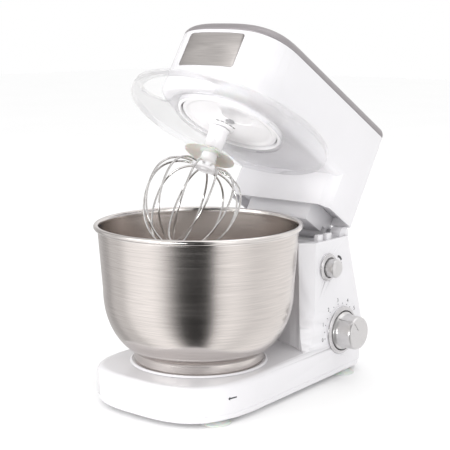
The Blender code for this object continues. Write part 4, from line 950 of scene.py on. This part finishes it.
def dense(outline, columns):
    """The outline with extra points, so that straight runs can follow a curved surface."""
    points = []
    for (x0, z0), (x1, z1) in zip(outline, outline[1:] + outline[:1]):
        share = max(1, round(abs(x1 - x0) / (2 * PLATE_HALF_W) * columns))
        points += [(x0 + (x1 - x0) * i / share, z0 + (z1 - z0) * i / share) for i in range(share)]
    return points


def strip_fill(bm, loop):
    """Faces across a loop that is mirrored about x = 0, between points of about the same x."""
    heights = [v.co.z for v in loop]
    middle = (max(heights) + min(heights)) / 2
    upper = sorted([v for v in loop if v.co.z >= middle], key=lambda v: v.co.x)
    lower = sorted([v for v in loop if v not in upper], key=lambda v: v.co.x)
    i = j = 0
    while i < len(upper) - 1 or j < len(lower) - 1:
        if j >= len(lower) - 1 or (i < len(upper) - 1 and upper[i + 1].co.x <= lower[j + 1].co.x):
            bm.faces.new((upper[i], upper[i + 1], lower[j]))
            i += 1
        else:
            bm.faces.new((upper[i], lower[j + 1], lower[j]))
            j += 1


def build_head_shell():
    outline = []
    for i in range(7):
        angle = pi / 2 * i / 6
        outline.append(on_head(head_plan(6 * MM * (1 - sin(angle))), HEAD_FLOOR + 8 * MM * (1 - cos(angle))))
    outline.append(on_seam(head_plan(0), 0))
    wall = HEAD_WALL
    tools = [add(loft_mesh("neck",
                           [on_head(neck_plan(0.02 * MM), z)
                            for z in (NECK_BOTTOM, HEAD_FLOOR + 12 * MM)]))]
    inner = [on_head(head_plan(wall + 3 * MM), HEAD_FLOOR + wall),
             on_head(head_plan(wall), HEAD_FLOOR + wall + 6 * MM), on_seam(head_plan(wall), 5 * MM)]
    tools.append(cut(loft_mesh("inner", inner)))
    throat = [on_head(neck_plan(wall + 0.1 * MM), z) for z in (NECK_BOTTOM - 2 * MM, HEAD_FLOOR + 9 * MM)]
    tools.append(cut(loft_mesh("throat", throat)))
    hole = rod_mesh("hole", DRUM_R + CLEAR, HEAD_FLOOR - HINGE_Z - 5 * MM, HEAD_FLOOR - HINGE_Z + 12 * MM,
                    128)
    tools.append(cut(placed(hole, 0, -HINGE_Y, 0)))
    recess = nose_patch("recess", -3 * MM, PLATE_T + CLEAR, PLATE_HALF_W + CLEAR, -PLATE_LOW - CLEAR,
                        -PLATE_HIGH + CLEAR, PLATE_CORNER + CLEAR)
    tools.append(cut(recess))
    shell = made(loft_mesh("shell", outline), HEAD, tools, 0.6 * MM)
    piece("head_housing", shell, "head", WHITE, ["head_shell"])


def build_front_plate():
    patch = nose_patch("plate", 0.1 * MM, PLATE_T, PLATE_HALF_W, -PLATE_LOW, -PLATE_HIGH, PLATE_CORNER)
    plate = made(patch, HEAD, (), 0.15 * MM, 50, 2)
    piece("brushed_front_plate", plate, "head", PLATE_STEEL, ["front_plate"])


def crowned(inset, share, hollow=0.0):
    return [(x, y - HINGE_Y, seam_height(y) + CLEAR + (COVER_H - hollow) * share - HINGE_Z)
            for x, y in head_plan(inset)]


def build_cover():
    """Silver cover: a narrow upright edge, a rounded shoulder and a slightly crowned top."""
    outer = [crowned(0.5 * MM, 0.0), crowned(0, 0.05)]
    steps = 14
    for i in range(1, steps + 1):
        angle = pi / 2 * i / steps
        outer.append(crowned(COVER_EDGE * (1 - cos(angle)) * 1.6, 0.05 + 0.79 * sin(angle)))
    for inset, share in ((2.2, 0.90), (3.0, 0.955), (4.0, 0.985), (5.4, 1.0)):
        outer.append(crowned(COVER_EDGE * inset, share))
    inner = [crowned(COVER_WALL, -0.3, COVER_WALL), crowned(COVER_WALL + 6 * MM, 0.75, COVER_WALL),
             crowned(COVER_EDGE * 4, 0.95, COVER_WALL)]
    cover = made(loft_mesh("cover", outer), HEAD, [cut(loft_mesh("inner", inner))], 0, 40)
    piece("silver_top_cover", cover, "head", COVER, ["top_cover"])


def build_block():
    """Block under the neck with its hinge knuckle, a ledge inside the neck and a rear bridge."""
    low = BLOCK_BOTTOM - HINGE_Z
    high = NECK_BOTTOM + 12 * MM - HINGE_Z
    rear = -KNUCKLE_R - 6 * MM
    front = BLOCK_FRONT - HINGE_Y
    body = box_mesh("block", (-BLOCK_HALF_W, front, low), (BLOCK_HALF_W, rear, high))
    knuckle = rod_mesh("knuckle", KNUCKLE_R - 0.5 * MM, -BLOCK_HALF_W, BLOCK_HALF_W, 64, "X")
    hollow = box_mesh("hollow", (-BLOCK_HALF_W + 4 * MM, front + 4 * MM, low + 4 * MM),
                      (BLOCK_HALF_W - 4 * MM, rear - 4 * MM, high + 1 * MM))
    tools = [add(box_mesh("arm", (-BLOCK_HALF_W, rear - 4 * MM, 1 * MM), (BLOCK_HALF_W, -1 * MM, high))),
             add(knuckle), cut(hollow),
             cut(rod_mesh("bore", PIN_R + CLEAR, -BLOCK_HALF_W - 1 * MM, BLOCK_HALF_W + 1 * MM, 48, "X"))]
    block = made(body, HEAD, tools, 0.8 * MM)
    piece("head_hinge_block", block, "head", WHITE, ["hinge_block"])
    ledge_z = NECK_BOTTOM + 9 * MM - HINGE_Z
    inset = HEAD_WALL + CLEAR
    plan = [(x, y - HINGE_Y) for x, y in neck_plan(inset)]
    ledge = loft_mesh("ledge", [[(x, y, z) for x, y in plan] for z in (ledge_z, ledge_z + 2 * MM)])
    gap = box_mesh("gap", (-BLOCK_HALF_W - 0.4 * MM, front - 0.4 * MM, ledge_z - 1 * MM),
                   (BLOCK_HALF_W + 0.4 * MM, 20 * MM, ledge_z + 3 * MM))
    shelf = made(ledge, HEAD, [cut(gap)], 0.3 * MM)
    piece("neck_ledge", shelf, "head", WHITE_SATIN)


def build_drum():
    """Drum with a raised lip round the turning disc, in the brightened white copy that paints light onto the
    shaded underside.
    """
    top = DRUM_TOP - DRUM_BOTTOM
    inner = DRUM_R - DRUM_WALL
    profile = eased([(DRUM_R - 1 * MM, top), (DRUM_R, top - 1 * MM), (DRUM_R, 3.4 * MM, 0.6 * MM),
                     (DRUM_R - 0.8 * MM, 2.6 * MM, 0.6 * MM), (DRUM_R - 0.8 * MM, 0.8 * MM, 0.8 * MM),
                     (DRUM_R - 2 * MM, 0, 0.8 * MM), (inner, 0, 0.8 * MM), (inner, top - 4 * MM),
                     (9 * MM, top - 4 * MM), (9 * MM, top)])
    spot = DRIVE @ Matrix.Translation((0, 0, DRUM_BOTTOM - HINGE_Z))
    drum = made(turned_mesh("drum", profile, 160), spot)
    # brightened white copy: painted light on the shaded underside
    piece("planetary_drum", drum, "head", PAINTED_LIGHT_WHITE, ["gearbox_housing"])


def build_disc():
    """Turning disc: a rolled edge, a dished underside and an off-centre hollow opposite the tool."""
    low, high = DISC_BOTTOM - HINGE_Z, DISC_BOTTOM + 4 * MM - HINGE_Z
    edge = DRUM_R - DRUM_WALL - DISC_GAP
    profile = eased([(0, high), (edge, high), (edge, low, 1.2 * MM), (edge - 4 * MM, low, 1 * MM),
                     (edge - 7 * MM, low + 1.6 * MM, 1.5 * MM), (20 * MM, low + 2.4 * MM, 3 * MM),
                     (0, low + 2.4 * MM)], False, 6)
    tool = TOOL.translation - DRIVE.translation
    spot = LEAN.inverted() @ tool
    opposite = -spot.normalized() * 20 * MM
    hollow = rod_mesh("hollow", 17 * MM, low - 1 * MM, low + 3.0 * MM, 96)
    hole = rod_mesh("hole", TOOL_SHAFT_R + CLEAR, low - 2 * MM, high + 1 * MM, 48)
    boss = turned_mesh("boss",
                       eased([(0, low + 3 * MM), (15 * MM, low + 3 * MM),
                              (13 * MM, low + 0.3 * MM, 0.8 * MM), (0, low + 0.3 * MM)], False), 96, False)
    tools = [add(placed(boss, spot.x, spot.y)), cut(placed(hollow, opposite.x, opposite.y)),
             cut(placed(hole, spot.x, spot.y))]
    disc = made(turned_mesh("disc", profile, 160, False), DRIVE, tools, 0.25 * MM, 40, 2)
    # brightened white copy: painted light on the shaded underside
    piece("planetary_disc", disc, "carrier", PAINTED_LIGHT_WHITE, ["planet_disc"])
    marks = []
    away = atan2(spot.y, spot.x)
    for step in (-34, -17, 0, 17, 34):
        turn = away + radians(180 + step)
        centre = (spot.x + 17.5 * MM * cos(turn), spot.y + 17.5 * MM * sin(turn))
        outline = stroke([(centre[0] - 1.7 * MM * sin(turn), centre[1] + 1.7 * MM * cos(turn)),
                          (centre[0] + 1.7 * MM * sin(turn), centre[1] - 1.7 * MM * cos(turn))], 1.6 * MM)
        marks.append(loft_mesh("mark", [[(x, y, low + z * MM) for x, y in outline] for z in (2.2, 2.6)]))
    print_marks = made(joined("marks", marks), DRIVE)
    piece("tool_lock_marks", print_marks, "carrier", INK)


def build_socket():
    high = DISC_BOTTOM - 2 * CLEAR - HINGE_Z
    low = HUB_TOP + CLEAR - HINGE_Z
    bore = TOOL_SHAFT_R + CLEAR
    profile = eased([(SOCKET_R + 0.8 * MM, high, 0.3 * MM), (SOCKET_R + 0.8 * MM, high - 2 * MM, 0.5 * MM),
                     (SOCKET_R, high - 3 * MM, 0.6 * MM), (SOCKET_R - 0.3 * MM, low, 0.9 * MM), (bore, low),
                     (bore, high)])
    slot = box_mesh("slot", (-1.6 * MM, -SOCKET_R - 2 * MM, low + 7 * MM),
                    (1.6 * MM, -SOCKET_R + 1.4 * MM, low + 10 * MM))
    slot.transform(Matrix.Rotation(radians(40), 4, "Z"))
    socket = made(turned_mesh("socket", profile, 96), TOOL, [cut(slot)], 0.2 * MM, 40, 2)
    # brightened white copy: painted light on the shaded underside
    piece("tool_socket_sleeve", socket, "tool", PAINTED_LIGHT_WHITE, ["tool_socket"])


def build_whisk():
    bore = TOOL_SHAFT_R + CLEAR
    top, low = HUB_TOP - HINGE_Z, HUB_BOTTOM - HINGE_Z
    profile = eased([(HUB_NECK_R, top, 0.8 * MM),
                     (HUB_NECK_R - 0.6 * MM, low + HUB_FLANGE + 5 * MM, 3 * MM),
                     (HUB_R, low + HUB_FLANGE, 1 * MM), (HUB_R, low + 2 * MM, 1 * MM),
                     (HUB_R - 3 * MM, low, 1 * MM), (HUB_R - 5 * MM, low + 1.2 * MM, 0.8 * MM),
                     (4 * MM, low + 1.2 * MM, 0.8 * MM), (3 * MM, low, 0.5 * MM), (0, low),
                     (0, top - SHAFT_DEPTH), (bore, top - SHAFT_DEPTH), (bore, top, 0.3 * MM)])
    holes = []
    for i in range(2 * LOOPS):
        turn = pi * i / LOOPS
        tip = Matrix.Rotation(turn, 4, "Z") @ Matrix.Translation((HUB_R, 0, low + HUB_FLANGE * 0.55))
        dimple = turned_mesh("dimple",
                             eased([(0, 2 * MM), (WIRE_R + 0.7 * MM, 2 * MM), (WIRE_R + 0.5 * MM, -2 * MM),
                                    (0, -2 * MM)], False), 16, False, "X")
        dimple.transform(tip)
        holes.append(add(dimple))
    hub = made(turned_mesh("hub", profile, 96), TOOL, holes, 0.15 * MM, 45, 2)
    # brightened white copy: painted light on the shaded underside
    piece("whisk_wire_hub", hub, "tool", PAINTED_LIGHT_WHITE, ["whisk_hub"])
    z = SHIELD_Z - HINGE_Z
    inner = HUB_NECK_R + CLEAR
    profile = eased([(inner, z + 4.2 * MM, 0.4 * MM), (inner + 3 * MM, z + 4 * MM, 2 * MM),
                     (SHIELD_R * 0.62, z + 2.6 * MM, 4 * MM), (SHIELD_R - 1 * MM, z - 1.6 * MM, 1.5 * MM),
                     (SHIELD_R, z - 2.2 * MM, 0.4 * MM), (SHIELD_R - 0.6 * MM, z - 2.8 * MM, 0.4 * MM),
                     (SHIELD_R - 2.6 * MM, z - 1.6 * MM, 1.5 * MM), (SHIELD_R * 0.62, z + 1.5 * MM, 4 * MM),
                     (inner + 2 * MM, z + 2 * MM, 1 * MM), (inner + 1.4 * MM, z - 1 * MM, 0.5 * MM),
                     (inner, z - 1 * MM, 0.3 * MM)], True, 6)
    shield = made(turned_mesh("shield", profile, 120), TOOL)
    piece("silicone_shield", shield, "tool", SILICONE, ["dough_shield"])
    for number in range(LOOPS):
        wire = made(tube_mesh("wire", [wire_points(number)], WIRE_R, 12), TOOL)
        piece(f"whisk_wire_{number + 1}", wire, "tool", WIRE, [f"whisk_loop_{number + 1}"])


def wire_points(number):
    """One wire's line: out of the hub's flange, round its widest point and under the axis."""
    start_r = HUB_R + CLEAR
    top = HUB_BOTTOM + HUB_FLANGE * 0.55 - HINGE_Z
    tip = WHISK_TIP + LOOP_STEP * number - HINGE_Z
    widest = WHISK_WIDEST - HINGE_Z
    steps = 22
    half = [(start_r - 1.2 * MM, top), (start_r, top)]
    for i in range(1, steps):
        angle = pi / 2 * i / steps
        half.append((start_r + (WHISK_R - start_r) * sin(angle) ** 0.95,
                     widest + (top - widest) * cos(angle) ** 0.8))
    for i in range(steps + 1):
        angle = pi / 2 * i / steps
        half.append((WHISK_R * cos(angle), widest - (widest - tip) * sin(angle)))
    turn = pi * number / LOOPS
    points = [(r * cos(turn), r * sin(turn), z) for r, z in half]
    return points + [(-r * cos(turn), -r * sin(turn), z) for r, z in reversed(half[:-1])]


def opening_mesh(grow, low, high):
    """Kidney-shaped solid with round ends, between two radii."""
    inner, outer = OPENING[0] - grow, OPENING[1] + grow
    middle, half = (inner + outer) / 2, (outer - inner) / 2
    start, end = OPENING_DEG
    points = arc(outer, start, end, 30)
    points += arc(half, end, end + 180, 16, (middle * cos(radians(end)), middle * sin(radians(end))))[1:-1]
    points += arc(inner, end, start, 30)
    points += arc(half, start + 180, start + 360, 16,
                  (middle * cos(radians(start)), middle * sin(radians(start))))[1:-1]
    return loft_mesh("opening", [[(x, y, z) for x, y in points] for z in (low, high)])


def build_guard():
    """Clear splash guard: thin plate, hanging rim, stepped collar, and a feed opening with a raised lip."""
    inner = DRUM_R + 1 * MM
    collar = inner + 1.8 * MM
    low = -GUARD_SKIRT
    thin = GUARD_T * 0.75
    profile = eased([(GUARD_R - 0.8 * MM, 0, 0.8 * MM), (GUARD_R, -1.4 * MM, 1 * MM),
                     (GUARD_R, low, 0.5 * MM), (GUARD_R - 1.6 * MM, low, 0.5 * MM),
                     (GUARD_R - 1.9 * MM, -thin - 0.6 * MM, 0.8 * MM), (GUARD_R - 4 * MM, -thin, 1 * MM),
                     (collar + 3 * MM, -thin, 1 * MM), (collar, -thin - 0.8 * MM, 0.6 * MM),
                     (collar, -GUARD_T - 3.5 * MM, 0.5 * MM), (inner, -GUARD_T - 3.5 * MM, 0.5 * MM),
                     (inner, 0, 0.5 * MM)])
    lip = opening_mesh(1.6 * MM, -GUARD_T - 1.2 * MM, -thin * 0.5)
    tools = [add(lip), cut(opening_mesh(0, -9 * MM, 3 * MM))]
    guard = made(turned_mesh("guard", profile, 200), GUARD, tools, 0.4 * MM, 40, 2)
    piece("clear_splash_guard", guard, "guard", CLEAR_GUARD, ["splash_guard"])


# ---------------------------------------------------------------- bowl

def bowl_wall(inset):
    """(radius, height) points of the bowl's wall from under the rim to its bottom."""
    top_r = BOWL_RIM_R - BOWL_LEDGE - inset
    low_r = top_r - BOWL_TAPER
    high = BOWL_HEIGHT - 2.3 * BOWL_BEAD
    points = [(top_r - BOWL_TAPER * i / 8, high - (high - BOWL_SHOULDER) * i / 8) for i in range(8)]
    core = BOWL_FOOT_R - 28 * MM
    depth = BOWL_SHOULDER - BOWL_FOOT_H + BOWL_SHEET - inset
    for i in range(41):
        angle = pi / 2 * i / 40
        points.append((core + (low_r - core) * cos(angle) ** 0.9, BOWL_SHOULDER - depth * sin(angle) ** 0.95))
    return points


def build_bowl():
    """Brushed bowl with a polished rolled rim and a foot ring."""
    wall = bowl_wall(0)
    above = [point for point in wall if point[0] > BOWL_FOOT_R + 0.6 * MM]
    below = [point for point in wall if point[0] < BOWL_FOOT_R - BOWL_FOOT_T - 0.6 * MM]
    foot = eased([above[-1], (BOWL_FOOT_R, above[-1][1] - 1.4 * MM, 1 * MM), (BOWL_FOOT_R, 0, 0.5 * MM),
                  (BOWL_FOOT_R - BOWL_FOOT_T, 0, 0.5 * MM),
                  (BOWL_FOOT_R - BOWL_FOOT_T, below[0][1] + 0.6 * MM, 0.6 * MM), below[0]], False)
    inner = bowl_wall(BOWL_SHEET)
    outer = above[:-1] + foot + below[1:]
    profile = outer + [(0, outer[-1][1]), (0, inner[-1][1])] + list(reversed(inner))
    bowl = made(turned_mesh("bowl", profile, 224), BOWL)
    piece("brushed_mixing_bowl", bowl, "bowl_body", BOWL_STEEL, ["bowl", "bowl_foot"])
    middle = BOWL_RIM_R - BOWL_BEAD
    top = BOWL_HEIGHT - BOWL_BEAD
    bead = [(middle + BOWL_BEAD * cos(radians(a)), top + BOWL_BEAD * sin(radians(a)))
            for a in range(150, -121, -15)]
    high = wall[0][1]
    start_r = wall[0][0]
    rim = bead + [(start_r + 0.15 * MM, high + 1.2 * MM), (start_r + 0.1 * MM, high - 0.8 * MM),
                  (start_r - BOWL_SHEET - 0.1 * MM, high - 0.8 * MM),
                  (start_r - BOWL_SHEET - 0.05 * MM, high + 2 * MM)]
    piece("rolled_bowl_rim", made(turned_mesh("rim", rim, 224), BOWL), "bowl_body", RIM_STEEL)


# ---------------------------------------------------------------- inner pieces, floor, light, camera

INNER = (("hinge_pin", MACHINED), ("latch_pin", MACHINED), ("latch_lever", MACHINED),
         ("release_spring", MACHINED), ("ring_gear", MACHINED), ("stator_core", MACHINED),
         ("motor_end_plate", MACHINED), ("motor_top_plate", MACHINED), ("motor_pulley", MACHINED),
         ("main_shaft", MACHINED), ("tool_shaft", MACHINED), ("switch_shaft", MACHINED),
         ("stator_winding", COPPER), ("armature", COPPER), ("main_bush", BRONZE), ("planet_gear", BRONZE),
         ("control_board", BOARD), ("speed_switch", BLACK), ("drive_belt", BLACK), ("driven_pulley", BLACK),
         ("cooling_fan", BLACK))


def finish_inner_pieces():
    for name, material in INNER:
        item = frame["nodes"][name]
        for slot in item.material_slots:
            slot.material = material
        if not item.material_slots:
            item.data.materials.append(material)


FLOOR_HALF = 6.0


def build_floor():
    bm = bmesh.new()
    bmesh.ops.create_grid(bm, x_segments=2, y_segments=2, size=FLOOR_HALF)
    mesh = bpy.data.meshes.new("studio_floor")
    bm.to_mesh(mesh)
    bm.free()
    floor = bpy.data.objects.new("studio_floor", mesh)
    bpy.context.scene.collection.objects.link(floor)
    material, shader = new_shader("pale_floor", (0.98, 0.98, 0.98), 0.9, Specular_IOR_Level=0.0)
    tree = material.node_tree
    tree.links.new(tint(tree, grain(tree, 3.0), (0.975, 0.975, 0.975), (0.985, 0.985, 0.985)),
                   shader.inputs["Base Color"])
    mesh.materials.append(material)
    floor.visible_glossy = False


def add_light(name, location, target, size, power, size_y):
    light = bpy.data.lights.new(name, "AREA")
    light.shape = "RECTANGLE"
    light.size = size
    light.size_y = size_y
    light.energy = power
    item = bpy.data.objects.new(name, light)
    bpy.context.scene.collection.objects.link(item)
    item.location = location
    item.rotation_euler = (Vector(target) - Vector(location)).to_track_quat("-Z", "Y").to_euler()
    return item


MIDDLE = (0, 0, 0.18)
# (name, place, what it points at, width, power in watts, height)
LIGHTS = (("key", (-0.7, -1.6, 0.9), MIDDLE, 1.1, 4, 1.1),
          ("low", (0.2, -1.4, 0.12), (0, 0, 0.25), 0.9, 8, 0.2),
          ("fill", (1.8, -0.9, 0.9), MIDDLE, 1.2, 3, 1.2), ("top", (0.2, 0.4, 1.9), MIDDLE, 1.6, 6, 1.6))
WORLD_STRENGTH = 1.0
# (degrees round the machine from +X, brightness) of the softboxes and dark gaps that show in gloss
STUDIO_BANDS = ((-170, 0.75), (-150, 0.72), (-138, 1.15), (-105, 1.3), (-92, 1.0), (-80, 0.4), (-70, 0.05),
                (-42, 0.02), (-34, 0.05), (-27, 1.0), (-10, 1.2), (20, 0.9), (60, 1.05), (100, 1.05),
                (150, 0.7))


def build_lights():
    """White surroundings, with softboxes and dark gaps in what the glossy surfaces mirror."""
    world = bpy.data.worlds.new("studio")
    bpy.context.scene.world = world
    world.use_nodes = True
    tree = world.node_tree
    source = add_node(tree, "ShaderNodeTexCoord").outputs["Generated"]
    parts = add_node(tree, "ShaderNodeSeparateXYZ")
    tree.links.new(source, parts.inputs["Vector"])
    angle = add_node(tree, "ShaderNodeMath", operation="ARCTAN2")
    tree.links.new(parts.outputs["Y"], angle.inputs[0])
    tree.links.new(parts.outputs["X"], angle.inputs[1])
    share = add_node(tree, "ShaderNodeMapRange")
    share.inputs["From Min"].default_value = -pi
    share.inputs["From Max"].default_value = pi
    tree.links.new(angle.outputs["Value"], share.inputs["Value"])
    bands = add_node(tree, "ShaderNodeValToRGB")
    ramp = bands.color_ramp
    first, last = ramp.elements
    first.position, last.position = 0.0, 1.0
    first.color = last.color = (0.45, 0.44, 0.44, 1)
    for degrees, level in STUDIO_BANDS:
        step = ramp.elements.new((degrees + 180) / 360)
        step.color = (level, level * 0.985, level * 0.98, 1)
    tree.links.new(share.outputs["Result"], bands.inputs["Fac"])
    path = add_node(tree, "ShaderNodeLightPath")
    mirror = add_node(tree, "ShaderNodeMix", data_type="RGBA")
    mirror.inputs[6].default_value = (1.0, 1.0, 1.0, 1)
    tree.links.new(path.outputs["Is Glossy Ray"], mirror.inputs[0])
    tree.links.new(bands.outputs["Color"], mirror.inputs[7])
    background = tree.nodes["Background"]
    tree.links.new(mirror.outputs[2], background.inputs["Color"])
    background.inputs["Strength"].default_value = WORLD_STRENGTH
    for light in LIGHTS:
        add_light(*light)


CAMERA_AZIMUTH = radians(40.17)     # round to the right of the nose
CAMERA_ELEVATION = radians(9.69)
CAMERA_LENS = 96.48
CAMERA_DISTANCE = 1.2695
CAMERA_TARGET = Vector((0, BOWL_SPOT.y + 42.15 * MM, 177 * MM))


def build_camera():
    """A camera at the photograph's angle."""
    azimuth, elevation = CAMERA_AZIMUTH, CAMERA_ELEVATION
    forward = Vector((-sin(azimuth) * cos(elevation), cos(azimuth) * cos(elevation), -sin(elevation)))
    data = bpy.data.cameras.new("camera")
    data.sensor_width = 36.0
    data.lens = CAMERA_LENS
    camera = bpy.data.objects.new("camera", data)
    bpy.context.scene.collection.objects.link(camera)
    camera.location = CAMERA_TARGET - forward * CAMERA_DISTANCE
    camera.rotation_euler = forward.to_track_quat("-Z", "Y").to_euler()
    bpy.context.scene.camera = camera
    bpy.context.scene.view_settings.view_transform = "Standard"


build_housing()
build_bottom()
build_feet()
build_seat()
build_cap()
build_bezels()
build_knob()
build_button()
build_dial_print()
build_release_print()
build_lock_print()
build_gland()
build_screws()
build_head_shell()
build_front_plate()
build_cover()
build_block()
build_drum()
build_disc()
build_socket()
build_whisk()
build_guard()
build_bowl()
finish_inner_pieces()
build_floor()
build_lights()
build_camera()
